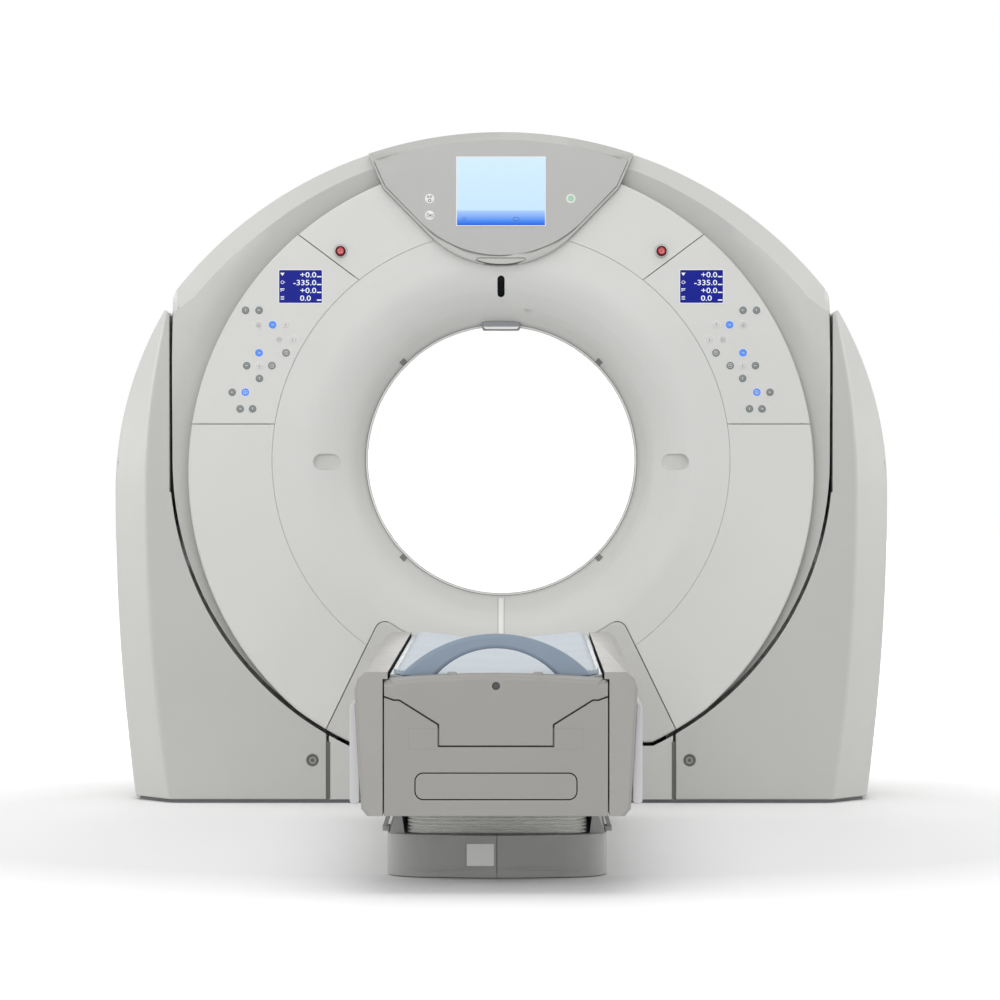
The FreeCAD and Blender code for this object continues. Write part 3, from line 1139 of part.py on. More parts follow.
def tabletop():
    y0, y1 = TABLE_NEAR_Y, COUCH_FAR_Y
    edge = V(TABLE_HALF_W, 0, TABLE_EDGE)
    low = V(TABLE_FLAT_HALF, 0, TABLE_LOW)
    side = V(TABLE_HALF_W, 0, TABLE_EDGE - 16)
    flat = [low, side, edge]
    left = [V(-p.x, 0, p.z) for p in flat]
    wire = Part.Wire(
        [
            line(left[0], low),
            line(low, side),
            line(side, edge),
            arc(edge, V(0, 0, TABLE_EDGE - TABLE_DISH), left[2]),
            line(left[2], left[1]),
            line(left[1], left[0]),
        ]
    )
    save(prism_y(Part.Face(wire), y0, y1), "tabletop")

    carriage = box(-RAIL_X - 15, RAIL_X + 15, CARRIAGE_NEAR_Y, CARRIAGE_FAR_Y, RAIL_HIGH + 5, TABLE_LOW)
    window = box(-RAIL_X + 25, RAIL_X - 25, CARRIAGE_NEAR_Y + 80, CARRIAGE_FAR_Y - 80, 0, 2 * TABLE_LOW)
    carriage = carriage.cut(window)
    for side in (-1, 1):
        x = side * RAIL_X
        for y in (CARRIAGE_NEAR_Y, CARRIAGE_FAR_Y - 120):
            block = box(x - RAIL_W, x + RAIL_W, y, y + 120, RAIL_LOW + 3, RAIL_HIGH + 6)
            half = RAIL_W / 2 + SEAT
            block = block.cut(box(x - half, x + half, y - 1, y + 121, 0, RAIL_HIGH + SEAT))
            carriage = carriage.fuse(block)
    save(one(carriage), "tabletop_carriage")

    half = MAT_HALF_W
    drop = TABLE_DISH * (1 - (half / TABLE_HALF_W) ** 2)
    low_edge = TABLE_EDGE - drop + SEAT
    centre = TABLE_EDGE - TABLE_DISH + SEAT
    bottom = arc(V(-half, 0, low_edge), V(0, 0, centre + 0.02), V(half, 0, low_edge))
    right = arc(
        V(half, 0, low_edge),
        V(half + 3, 0, low_edge + MAT_T / 3),
        V(half - 3, 0, low_edge + MAT_T * 0.7),
    )
    top_edge = low_edge + MAT_T * 0.7
    crown = arc(V(half - 3, 0, top_edge), V(0, 0, centre + MAT_T + 3), V(-half + 3, 0, top_edge))
    left = arc(V(-half + 3, 0, top_edge), V(-half - 3, 0, low_edge + MAT_T / 3), V(-half, 0, low_edge))
    mat = prism_y(Part.Face(Part.Wire([bottom, right, crown, left])), MAT_NEAR_Y, COUCH_FAR_Y - 6)
    save(mat, "table_mat")


def arch_handle():
    """Arch with broad feet, narrow at the crown."""

    def circle_arc(half, foot_z, top_z):
        return arc(V(half, 0, foot_z), V(0, 0, top_z), V(-half, 0, foot_z))

    drop_out = TABLE_DISH * (1 - (HANDLE_HALF_OUT / TABLE_HALF_W) ** 2)
    drop_in = TABLE_DISH * (1 - (HANDLE_HALF_IN / TABLE_HALF_W) ** 2)
    foot_out = TABLE_EDGE - drop_out + SEAT
    foot_in = TABLE_EDGE - drop_in + SEAT
    outer = circle_arc(HANDLE_HALF_OUT, foot_out, HANDLE_TOP)
    inner = circle_arc(HANDLE_HALF_IN, foot_in, HANDLE_TOP - HANDLE_THICK)
    right = line(V(HANDLE_HALF_IN, 0, foot_in), V(HANDLE_HALF_OUT, 0, foot_out))
    left = line(V(-HANDLE_HALF_OUT, 0, foot_out), V(-HANDLE_HALF_IN, 0, foot_in))
    face = Part.Face(Part.Wire([outer, left, inner, right]))
    arch = prism_y(face, TABLE_NEAR_Y, TABLE_NEAR_Y + HANDLE_DEPTH)
    round_edges = [e for e in arch.Edges if e.BoundBox.YLength < 0.01 and e.BoundBox.XLength > 200]
    arch = arch.makeChamfer(HANDLE_EDGE, round_edges)
    save(arch, "arch_handle")


# ---------------------------------------------------------------- couch base
def base_outline(inset, z):
    """Plan of the couch base with its rounded ends."""
    half = BASE_HALF_W - inset
    r = BASE_CORNER_R - inset
    y0, y1 = BASE_NEAR_Y + inset, BASE_FAR_Y - inset
    k = r * (1 - math.sqrt(0.5))
    bow = 26.0
    edges = [
        line(V(half, y0 + r, z), V(half, y1 - r, z)),
        arc(V(half, y1 - r, z), V(half - k, y1 - k, z), V(half - r, y1, z)),
        line(V(half - r, y1, z), V(-half + r, y1, z)),
        arc(V(-half + r, y1, z), V(-half + k, y1 - k, z), V(-half, y1 - r, z)),
        line(V(-half, y1 - r, z), V(-half, y0 + r, z)),
        arc(V(-half, y0 + r, z), V(-half + k, y0 + k + bow * 0.6, z), V(-half + r, y0 + bow, z)),
        arc(V(-half + r, y0 + bow, z), V(0, y0, z), V(half - r, y0 + bow, z)),
        arc(V(half - r, y0 + bow, z), V(half - k, y0 + k + bow * 0.6, z), V(half, y0 + r, z)),
    ]
    return Part.Wire(edges)


def ear_section(inset):
    """Section of the base cover's raised right flank."""
    low = BASE_TOP - 1 - (EAR_WALL if inset else 0)
    points = [
        (BASE_HALF_W - 5 - inset, low),
        (BASE_HALF_W - 21 - inset, EAR_TOP - 8 - inset * 0.3),
        (BASE_HALF_W - 26 - inset * 0.4, EAR_TOP - inset),
        (BASE_HALF_W - 34 + inset * 0.4, EAR_TOP - inset),
        (BASE_HALF_W - 42 + inset, low),
    ]
    return polygon_xz(points)


def couch_base():
    t = COUCH_PLATE_T
    inset = BASE_SHELL + SEAT + 2
    plate = Part.Face(base_outline(inset, 0)).extrude(V(0, 0, t))
    for x in (-COUCH_ANCHOR_X, COUCH_ANCHOR_X):
        for side in (-1, 1):
            plate = plate.cut(cylinder_z(x, COLUMN_Y + side * COUCH_ANCHOR_Y, COUCH_ANCHOR_R, -1, t + 1))
    save(plate, "couch_base_plate")

    floor_z = 2.0
    outer = Part.Face(base_outline(0, floor_z)).extrude(V(0, 0, BASE_TOP - floor_z))
    hollow = Part.Face(base_outline(BASE_SHELL, 0)).extrude(V(0, 0, BASE_TOP - BASE_SHELL))
    shell = outer.cut(hollow)
    mouth_x = BELLOWS_HALF_W - 20
    y0, y1 = BASE_NEAR_Y + BELLOWS_INSET_Y + 45, BASE_FAR_Y - BELLOWS_INSET_Y - 20
    shell = shell.cut(box(-mouth_x, mouth_x, y0, y1, 50, 200))
    ear_y0, ear_y1 = BASE_NEAR_Y + EAR_NEAR_Y, BASE_FAR_Y - EAR_NEAR_Y
    ear = ear_section(0.0)
    hollow = ear_section(EAR_WALL)
    ear = prism_y(ear, ear_y0, ear_y1).cut(prism_y(hollow, ear_y0 + EAR_WALL, ear_y1 - EAR_WALL))
    shell = shell.fuse([ear, mirrored(ear)])
    cut = box(-0.75, 900, -4000, 0, -1, 300)
    left = shell.cut(cut)
    x0, x1 = -BASE_HALF_W + BASE_SHELL - 1, -BASE_HALF_W + 20
    lip_ys = (BASE_NEAR_Y + 221, BASE_FAR_Y - 279)
    lips = [box(x0, x1, y, y + 60, t, t + 30) for y in lip_ys]
    left = left.fuse(lips)
    save(one(left), "couch_base_cover_left")
    save(mirrored(one(left)), "couch_base_cover_right")

    x = BASE_HALF_W
    foot = [(x - 4, BASE_TOP), (x + 13, BASE_TOP), (x + 13, BASE_TOP + 12), (x - 4, BASE_TOP + 12)]
    arm = [(x + 2, BASE_TOP + 11), (x + 12, BASE_TOP + 11), (x + 4, BASE_TOP + 40), (x - 8, BASE_TOP + 58)]
    arm += [(x - 16, BASE_TOP + 58), (x - 6, BASE_TOP + 36)]
    guard_y = BASE_NEAR_Y + 150
    guard = prism_y(polygon_xz(foot), guard_y, guard_y + 60)
    guard = guard.fuse(prism_y(polygon_xz(arm), guard_y + 8, guard_y + 52))
    save(Part.makeCompound([guard, mirrored(guard)]), "base_guards")


def bellows():
    """Folded skirt between the base and the body."""
    low, high = BASE_TOP, BODY_BOTTOM - SEAT
    pitch = (high - low) / BELLOWS_FOLDS
    inset_x = BASE_HALF_W - BELLOWS_HALF_W

    def loop(depth, z):
        half = BASE_HALF_W - inset_x - depth
        cut = BELLOWS_CORNER - depth / 2
        y0 = BASE_NEAR_Y + BELLOWS_INSET_Y + depth
        y1 = BASE_FAR_Y - BELLOWS_INSET_Y - depth
        near = [(-half, y0 + cut), (-half + cut, y0), (half - cut, y0), (half, y0 + cut)]
        far = [(half, y1 - cut), (half - cut, y1), (-half + cut, y1), (-half, y1 - cut)]
        ring = [V(x, y, z) for x, y in near + far]
        return Part.makePolygon(ring + ring[:1])

    def skirt(extra):
        wires = []
        for i in range(BELLOWS_FOLDS):
            wires.append(loop(BELLOWS_FOLD_IN + extra, low + pitch * i))
            wires.append(loop(extra, low + pitch * (i + 0.5)))
        wires.append(loop(BELLOWS_FOLD_IN + extra, high))
        return Part.makeLoft(wires, True, True)

    save(skirt(0.0).cut(skirt(BELLOWS_SKIN)), "bellows")


# ---------------------------------------------------------------- build
def build():
    front_covers()
    displays_and_keypads()
    front_fittings()
    shroud()
    console()
    tunnel_window()
    tilt_frame()
    rotor()
    side_covers()
    base_covers()
    stand()
    couch_covers()
    end_covers()
    couch_frame()
    lift_columns()
    tabletop()
    arch_handle()
    couch_base()
    bellows()


build()
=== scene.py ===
import bpy
import bmesh
import json
from math import acos, copysign, cos, hypot, pi, radians, sin, sqrt
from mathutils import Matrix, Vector

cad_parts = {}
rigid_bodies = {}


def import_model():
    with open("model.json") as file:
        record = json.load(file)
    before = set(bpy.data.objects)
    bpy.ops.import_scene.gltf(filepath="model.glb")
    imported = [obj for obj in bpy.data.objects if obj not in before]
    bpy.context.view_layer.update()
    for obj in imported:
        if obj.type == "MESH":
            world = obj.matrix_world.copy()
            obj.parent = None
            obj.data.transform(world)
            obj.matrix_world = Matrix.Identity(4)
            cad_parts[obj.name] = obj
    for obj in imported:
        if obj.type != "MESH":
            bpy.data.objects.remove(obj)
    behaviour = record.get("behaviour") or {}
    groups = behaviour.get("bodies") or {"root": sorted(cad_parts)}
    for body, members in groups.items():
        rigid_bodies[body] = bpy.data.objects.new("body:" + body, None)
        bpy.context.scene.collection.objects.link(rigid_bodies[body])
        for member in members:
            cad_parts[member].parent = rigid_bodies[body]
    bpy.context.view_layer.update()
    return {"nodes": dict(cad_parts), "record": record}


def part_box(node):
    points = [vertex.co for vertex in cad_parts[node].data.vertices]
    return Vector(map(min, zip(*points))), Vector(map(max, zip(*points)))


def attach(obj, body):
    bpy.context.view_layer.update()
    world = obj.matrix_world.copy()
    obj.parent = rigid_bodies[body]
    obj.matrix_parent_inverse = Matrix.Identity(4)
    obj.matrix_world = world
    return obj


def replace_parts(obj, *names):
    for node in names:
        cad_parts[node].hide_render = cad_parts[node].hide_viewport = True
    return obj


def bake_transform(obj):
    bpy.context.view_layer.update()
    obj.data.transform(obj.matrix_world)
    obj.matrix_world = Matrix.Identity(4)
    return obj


# The looks of the CT scanner: covers with soft edges, keys, displays, the padded mat, light, camera.
# Metres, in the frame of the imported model: +Z up, +Y from the couch to the gantry's back.

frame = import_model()
scene = bpy.context.scene
record = frame["record"]
slot_of = {part["node"]: part["material_slot"] for part in record["subparts"]}
body_of = {node: body for body, nodes in record["behaviour"]["bodies"].items() for node in nodes}

# -------- sizes
ISO_Z = 0.993  # height of the isocentre
HALF_DEPTH = 0.43  # isocentre to the disc's flat face, front and rear
BORE_R = 0.39
FLARE_R = 0.19  # radius of the mouth's flare
MOUTH_R = BORE_R + FLARE_R  # where the flare runs out into the disc
LIP_R = 0.397  # where the flare starts, beside the liner's lip
FACE_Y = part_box("keypads")[0].y  # front of the printed film, the foremost flat of the disc
SCREEN_LOW, SCREEN_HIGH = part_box("console_screen")
CONSOLE_FACE = SCREEN_LOW.y + 0.0015  # the screen stands proud of it
COUCH_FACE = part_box("end_cover")[0].y
BASE_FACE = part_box("couch_base_cover_left")[0].y
DISPLAY_X = 0.58  # these four are distances from the middle plane
STOP_X = 0.464
RING_KEY_X = 0.202
CAP_X = 0.546
SIDES = ((-1, "left"), (1, "right"))


def clamp(value):
    """The value, kept between 0 and 1."""
    return min(1.0, max(0.0, value))


# -------- materials
def linear(hex_colour):
    """Linear colour of a #rrggbb value."""
    values = [int(hex_colour[i : i + 2], 16) / 255 for i in (1, 3, 5)]
    return [v / 12.92 if v <= 0.04045 else ((v + 0.055) / 1.055) ** 2.4 for v in values] + [1.0]


def new_material(name):
    material = bpy.data.materials.new(name)
    material.use_nodes = True
    tree = material.node_tree
    return material, tree, tree.nodes["Principled BSDF"]


def fill_in(tree, node, values=None, links=None):
    """Sets some of a node's inputs and links sockets to others."""
    for name, value in (values or {}).items():
        node.inputs[name].default_value = value
    for name, socket in (links or {}).items():
        tree.links.new(socket, node.inputs[name])
    return node


def add_node(tree, kind, values=None, links=None, operation=None):
    node = tree.nodes.new("ShaderNode" + kind)
    if operation:
        node.operation = operation
    return fill_in(tree, node, values, links)


def own_place(tree):
    """The object's own coordinates, which are metres."""
    return add_node(tree, "TexCoord").outputs["Object"]


def noise(tree, scale, detail=2.0, stretch=None):
    source = own_place(tree)
    if stretch:
        source = add_node(tree, "Mapping", {"Scale": stretch}, {"Vector": source}).outputs["Vector"]
    texture = add_node(tree, "TexNoise", {"Scale": scale, "Detail": detail}, {"Vector": source})
    return texture.outputs["Fac"]


def ramp(tree, source, stops):
    """A colour ramp of (position, colour) stops."""
    node = add_node(tree, "ValToRGB", links={"Fac": source})
    elements = node.color_ramp.elements
    while len(elements) < len(stops):
        elements.new(0.5)
    for element, (position, colour) in zip(elements, stops):
        element.position = position
        element.color = colour
    return node.outputs["Color"]


def patches(tree, scale, detail, low, high):
    """Two values that drift into each other over the surface."""
    return ramp(tree, noise(tree, scale, detail), [(0.3, low), (0.7, high)])


def mottled(tree, hex_colour, low, high, scale, detail):
    """A colour that drifts between two shades of itself."""
    colour = linear(hex_colour)[:3]
    shades = ([min(c * factor, 1.0) for c in colour] + [1.0] for factor in (low, high))
    return patches(tree, scale, detail, *shades)


def bump(tree, height, strength, distance, normal=None):
    links = {"Height": height}
    if normal:
        links["Normal"] = normal
    return add_node(tree, "Bump", {"Strength": strength, "Distance": distance}, links).outputs["Normal"]


def moulded(name, hex_colour, roughness=0.42, depth=0.25, drift=0.02, coat=0.0, gloss=0.5):
    """Moulded plastic or painted cover: fine grain and a faint drift of tone."""
    material, tree, shader = new_material(name)
    tone = mottled(tree, hex_colour, 1 - drift, 1 + drift, 2.2, 3.0)
    smooth, rough = ([roughness + change] * 3 + [1] for change in (-0.05, 0.05))
    links = {"Base Color": tone, "Roughness": patches(tree, 14.0, 3.0, smooth, rough)}
    links["Normal"] = bump(tree, noise(tree, 900.0), depth, 0.0002)
    fill_in(tree, shader, {"Coat Weight": coat, "Specular IOR Level": gloss}, links)
    return material


def metal(name, hex_colour, roughness):
    """Bare metal with a cloudy tone and a fine grain."""
    material, tree, shader = new_material(name)
    tone = mottled(tree, hex_colour, 0.93, 1.05, 60.0, 4.0)
    grain = bump(tree, noise(tree, 300.0, 3.0), 0.2, 0.0002)
    fill_in(tree, shader, {"Metallic": 1.0, "Roughness": roughness}, {"Base Color": tone, "Normal": grain})
    return material


def lit_from_within(tree, shader, picture, strength):
    """A lit surface: its own light carries the colour, and the room adds little."""
    dim = add_node(tree, "VectorMath", {"Scale": 0.15}, {0: picture}, "SCALE")
    values = {"Emission Strength": strength, "Specular IOR Level": 0.12, "Roughness": 0.25}
    fill_in(tree, shader, values, {"Base Color": dim.outputs[0], "Emission Color": picture})


def glowing(name, hex_colour, strength):
    """A lit display field or key."""
    material, tree, shader = new_material(name)
    lit_from_within(tree, shader, mottled(tree, hex_colour, 0.95, 1.05, 30.0, 2.0), strength)
    return material


def screen_material():
    """The console's screen: pale field over a blue bar that deepens towards the bottom."""
    material, tree, shader = new_material("screen_glow")
    split = add_node(tree, "SeparateXYZ", links={0: own_place(tree)})
    span = {"From Min": SCREEN_LOW.z, "From Max": SCREEN_HIGH.z}
    height = add_node(tree, "MapRange", span, {"Value": split.outputs["Z"]})
    places = (0.0, 0.06, 0.21, 0.23, 1.0)
    colours = ("#0A56D6", "#3D86F2", "#A9CBFA", "#C9E6FD", "#D3EDFF")
    stops = [(place, linear(colour)) for place, colour in zip(places, colours)]
    lit_from_within(tree, shader, ramp(tree, height.outputs["Result"], stops), 0.86)
    return material


def cloth_material(name, hex_colour):
    """Close-woven sheet over a thin pad: weave, faint creases, soft sheen."""
    material, tree, shader = new_material(name)
    tone = mottled(tree, hex_colour, 0.95, 1.04, 5.0, 4.0)
    normal, place = None, own_place(tree)
    for direction in ("X", "Y"):
        wave = add_node(tree, "TexWave", {"Scale": 160.0, "Distortion": 0.6}, {"Vector": place})
        wave.bands_direction = direction
        normal = bump(tree, wave.outputs["Fac"], 0.25, 0.0002, normal)
    creases = noise(tree, 6.0, 3.0, (1.0, 3.5, 1.0))
    values = {"Roughness": 0.85, "Sheen Weight": 0.25, "Sheen Roughness": 0.5}
    links = {"Base Color": tone, "Normal": bump(tree, creases, 0.35, 0.004, normal)}
    fill_in(tree, shader, values, links)
    return material


COVER = moulded("cover_white", "#D1D1CE")
materials = {
    "cover": COVER,
    "console": moulded("console_grey", "#B7B7B4", 0.4),
    "screen": screen_material(),
    "display": glowing("display_blue", "#02148C", 0.85),
    "key_light": glowing("key_green", "#CDEFD4", 0.75),
    "stop_red": moulded("stop_red", "#B8202B", 0.25, drift=0.03, coat=0.4),
    "dark_window": moulded("dark_window", "#08080A", 0.2, depth=0.05, gloss=0.15),
    "cup_grey": moulded("cup_grey", "#C6C6C3", 0.5),
    "tunnel_window": moulded("tunnel_window", "#EDEDEB", 0.35, depth=0.02, drift=0.005),
    "frame_steel": moulded("frame_paint", "#6E7072", 0.45),
    "bearing_steel": metal("bearing_steel", "#A4A5A8", 0.3),
    "motor_dark": moulded("motor_dark", "#36383B", 0.5),
    "frame_aluminium": metal("frame_aluminium", "#B8BABD", 0.4),
    "tube_steel": moulded("tube_paint", "#76787C", 0.4),
    "column_steel": moulded("column_paint", "#84868A", 0.4),
    "couch_cover": moulded("couch_cover", "#9E9C98"),
    "bumper": moulded("bumper_light", "#C9C9CC", 0.5),
    "base_cover_grey": moulded("base_grey", "#A4A4A2", 0.5),
    "bellows_rubber": moulded("bellows_fold", "#ECECE8", 0.6),
    "tabletop_shell": moulded("tabletop_shell", "#8F9599", 0.35),
    "mat_fabric": cloth_material("mat_cloth", "#B0BAC3"),
    "handle_grey": moulded("handle_grey", "#7E8D9E", 0.4),
}
# darker copies of the couch cover colour and of the cover white, for parts of the same plastics: painted
# shade
COUCH_END_SHADED = moulded("couch_end", "#989692")
SHELL = moulded("cover_shell_shaded", "#C3C3C0")
WING = moulded("cover_wing_shaded", "#B9B9B6")
FASCIA = moulded("console_fascia", "#B2B2B0", 0.38)
# pale for printed marks, rims, strips, a lens and a plate, and for the screen's bezel as a painted
# highlight
PALE = moulded("pale_marks_and_highlight", "#EAEAE8", 0.4)
# grey for printed marks and the caps, and painted shade in thin gaps, grooves and along the mouth's strip
LINE_GREY = moulded("line_grey", "#8E8E8B", 0.5)
INK = moulded("ink_dark", "#4A4C4E", 0.5)
DIGITS = glowing("display_digits", "#EEF4FF", 0.95)
# pale red: painted highlight on the emergency stops' domes
STOP_HIGHLIGHT = moulded("stop_highlight", "#D88A8C", 0.4)
STOP_DARK = moulded("stop_ring", "#2A0A0D", 0.35, gloss=0.2)
# dark grey: the screw plugs in the side covers' feet, and painted shade on the ledges and bars in the base
# covers' joints
JOINT_SHADE_AND_PLUG_GREY = moulded("plug_grey_and_joint_shade", "#5E5C5A", 0.6)
# near black for the walls of joints and the floor of a groove: painted shade
SEAM_SHADE = moulded("painted_seam_shade", "#0C0C0C", 0.7, gloss=0.1)
CLIP_DARK = moulded("clip_dark", "#747472", 0.5)
SIDE_COVERS = [f"side_cover_{hand}_{end}" for _, hand in SIDES for end in ("front", "rear")]
COUCH_SIDES = [f"couch_side_cover_{hand}" for _, hand in SIDES]
OWN_COLOURS_AND_SHADES = {  # nodes whose colour differs from the rest of their slot: the lamp, clips, collars and caps in colours of their own, and darker copies of the cover colours as painted shade
    "bore_lamp": moulded("lamp_grey", "#85878A", 0.35),
    "bore_clips": CLIP_DARK,
    "estop_collars": COVER,
    "cover_caps": LINE_GREY,
    **dict.fromkeys(("end_lid", "end_cover"), COUCH_END_SHADED),
    **dict.fromkeys(("outer_shroud", "base_covers", "lower_front_panel"), SHELL),
    **dict.fromkeys(SIDE_COVERS, WING),
}


def material_of(node):
    return OWN_COLOURS_AND_SHADES.get(node, materials[slot_of[node]])


for node, obj in frame["nodes"].items():
    obj.data.materials.clear()
    obj.data.materials.append(material_of(node))


# -------- refined covers
MOUTH_BANDS = 4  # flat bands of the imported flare
MOUTH_SPLIT = 4  # each is divided into this many
MOUTHS = {"front_funnel": 1, "rear_funnel": -1}
RIM_FROM_Y = 0.366  # the shroud's sloping band starts here
RIM_SLOPE = 0.507  # slope of the recess between the shroud's rim and the disc
RIM_TOP_Z = 1.455  # the rim is widened below this height
RIM_FADE = 0.05
RIM_SHORT = 0.002  # and stays this far inside the outline
CROWN_Z = 1.86  # the console's crown lies above this height
CROWN_TOP = (0.014, 0.425, 0.06)  # how far it runs back, how far to the side, and over what it fades
CROWN_FOOT = (0.0048, 0.345, 0.04)
HOLES_AT_X = {
    "front_cover": (-STOP_X, STOP_X),
    "console_housing": (RING_KEY_X,),
    **{f"control_panel_{hand}": (side * DISPLAY_X,) for side, hand in SIDES},
    **{f"side_cover_{hand}_front": (side * CAP_X,) for side, hand in SIDES},
}


def mouth_y(radius):
    """Depth of the round mouth's surface at a radius from the tunnel's axis."""
    return -HALF_DEPTH + FLARE_R - sqrt(max(FLARE_R**2 - (MOUTH_R - radius) ** 2, 0.0))


def axis_distance(place):
    return hypot(place.x, place.z - ISO_Z)


def on_mouth(place, back):
    """Whether a point lies on the flared mouth's visible side."""
    radius = axis_distance(place)
    return LIP_R - 0.0005 < radius < MOUTH_R + 0.0005 and -0.001 < place.y * back - mouth_y(radius) < 0.0042


def round_mouth(work, back):
    """Divides the mouth's flat bands along circles and brings every point onto its true round."""
    start = acos((MOUTH_R - LIP_R) / FLARE_R)
    steps = MOUTH_BANDS * MOUTH_SPLIT
    for step in range(1, steps):
        if step % MOUTH_SPLIT == 0:
            continue
        turn = start + (radians(90) - start) * step / steps
        circle = MOUTH_R - FLARE_R * cos(turn)
        faces = [f for f in work.faces if all(on_mouth(v.co, back) for v in f.verts)]
        fresh = []
        for edge in {e for f in faces for e in f.edges}:
            ra, rb = (axis_distance(v.co) for v in edge.verts)
            if min(ra, rb) < circle - 0.0002 and max(ra, rb) > circle + 0.0002:
                split = bmesh.utils.edge_split(edge, edge.verts[0], (circle - ra) / (rb - ra))
                fresh.append(split[1])
        bmesh.ops.connect_verts(work, verts=fresh)
    for vert in work.verts:
        if on_mouth(vert.co, back):
            vert.co.y = mouth_y(axis_distance(vert.co)) * back


def ease_brow(work):
    """Lets the console's crown run back softly from its face to the top edge."""
    low = [v for v in work.verts if abs(v.co.y - CONSOLE_FACE) < 0.0003 and v.co.z > CROWN_Z]
    high = {e.other_vert(v) for v in low for e in v.link_edges}
    forward = [f for f in work.faces if f.normal.y < -0.99 and f.calc_center_median().z > CROWN_Z]
    crown = [f for f in forward if len(f.verts) > 8]
    bmesh.ops.triangulate(work, faces=crown, ngon_method="BEAUTY")
    for vert in work.verts:
        if not -0.0053 < vert.co.y - CONSOLE_FACE < -0.0007:
            continue
        if any(f.normal.z > 0.4 for f in vert.link_faces):
            back, end, run = CROWN_TOP
        elif vert in high:
            back, end, run = CROWN_FOOT
        else:
            continue
        vert.co.y += back * clamp((end - abs(vert.co.x)) / run)


def nearest_place(here, lines):
    """The place nearest to a point on lines that run from p to q."""
    places = [p.lerp(q, clamp((here - p).dot(q - p) / (q - p).length_squared)) for p, q in lines]
    return min(places, key=lambda place: (place - here).length)


def widen_rim(work):
    """Brings the shroud's front and rear rims out to its outline beside the stand's covers."""

    def outward(face):
        centre = face.calc_center_median()
        return face.normal.x * centre.x + face.normal.z * (centre.z - ISO_Z) > 0.3

    def sloping(face):
        return abs(face.normal.y) > 0.03 and face.normal.y * face.calc_center_median().y > 0

    work.normal_update()
    walls = {f for f in work.faces if abs(f.normal.y) < 0.01 and outward(f)}
    bands = {f for f in work.faces if sloping(f) and outward(f)}
    outline = {}
    for edge in work.edges:
        sides = set(edge.link_faces)
        if sides & walls and sides & bands:
            line = [v.co.xz for v in edge.verts]
            outline.setdefault(edge.verts[0].co.y > 0, []).append(line)
    for vert in {v for f in bands for v in f.verts}:
        share = clamp((RIM_TOP_Z - vert.co.z) / RIM_FADE)
        if abs(vert.co.y) < RIM_FROM_Y or share <= 0.0:
            continue
        here = vert.co.xz
        way = nearest_place(here, outline[vert.co.y > 0]) - here
        if way.length > RIM_SHORT:
            move = way * (share * (way.length - RIM_SHORT) / way.length)
            vert.co.xz += move
            y = min(abs(vert.co.y) + move.length * RIM_SLOPE, HALF_DEPTH - 0.001)
            vert.co.y = copysign(y, vert.co.y)


def cut_through(work, place, normal):
    """Divides the mesh along a plane and marks the cut, so that no face keeps a hole in it."""
    geometry = work.verts[:] + work.edges[:] + work.faces[:]
    cut = bmesh.ops.bisect_plane(work, geom=geometry, dist=0.00001, plane_co=place, plane_no=normal)
    for part in cut["geom_cut"]:
        if isinstance(part, bmesh.types.BMEdge):
            part.seam = True


def assign(target, **values):
    for name, value in values.items():
        setattr(target, name, value)


def link_object(name, data):
    obj = bpy.data.objects.new(name, data)
    scene.collection.objects.link(obj)
    return obj


def mesh_object(name, work):
    mesh = bpy.data.meshes.new(name)
    work.to_mesh(mesh)
    work.free()
    return link_object(name, mesh)


def welded_copy(node, name):
    """The node's mesh as one connected surface, ready for soft edges."""
    work = bmesh.new()
    work.from_mesh(frame["nodes"][node].data)
    bmesh.ops.remove_doubles(work, verts=work.verts, dist=0.00002)
    if node == "outer_shroud":
        widen_rim(work)
    cut_through(work, (0, 0, 0), (1, 0, 0))
    cut_through(work, (0, 0, ISO_Z), (0, 0, 1))
    for x in HOLES_AT_X.get(node, ()):
        cut_through(work, (x, 0, 0), (1, 0, 0))
    flat = radians(0.25)
    bmesh.ops.dissolve_limit(work, angle_limit=flat, verts=work.verts, edges=work.edges, delimit={"SEAM"})
    if node in MOUTHS:
        round_mouth(work, MOUTHS[node])
    if node == "console_housing":
        ease_brow(work)
    return mesh_object(name, work)


def soften(obj, width, smooth_angle, wide, wide_width):
    """Rounds the edges, some of them wider, and smooths the curved stretches between them."""
    mesh = obj.data
    mesh.shade_smooth()
    mesh.set_sharp_from_angle(angle=radians(smooth_angle))
    work = bmesh.new()
    work.from_mesh(mesh)
    weights = work.edges.layers.float.new("bevel_weight_edge")
    most = max(width, wide_width)
    for edge in work.edges:
        if len(edge.link_faces) != 2:
            continue
        angle = edge.calc_face_angle(0.0)
        share = wide(edge, angle) if wide else 0.0
        if share:
            edge[weights] = share * wide_width / most
            edge.smooth = False
        elif angle > radians(smooth_angle):
            edge[weights] = width / most
    work.to_mesh(mesh)
    work.free()
    bevel = obj.modifiers.new("soft_edges", "BEVEL")
    assign(bevel, width=most, segments=4 if wide else 2, limit_method="WEIGHT")
    assign(bevel, harden_normals=True, use_clamp_overlap=not wide)
    weighted = obj.modifiers.new("even_normals", "WEIGHTED_NORMAL")
    weighted.keep_sharp = True


def end_cover_joint(n, c):
    """The joint round the end cover, and the floor of its oval groove: faces that get painted shade."""
    groove = n.y < -0.9 and 0.002 < c.y - COUCH_FACE < 0.006
    return (abs(n.y) < 0.5 and c.z > 0.183) or groove


# faces of the couch's side covers beside the end cover, which get painted shade
def beside_end_cover(n, c):
    return n.x * c.x < 0 and abs(n.x) > 0.9 and abs(c.x) < 0.2625


def base_joint(n, c):
    """The ledges behind the joints to the side covers, which get painted shade."""
    return abs(c.x) > 0.497 and abs(n.y) > 0.9 and 0.424 < abs(c.y) < 0.4265


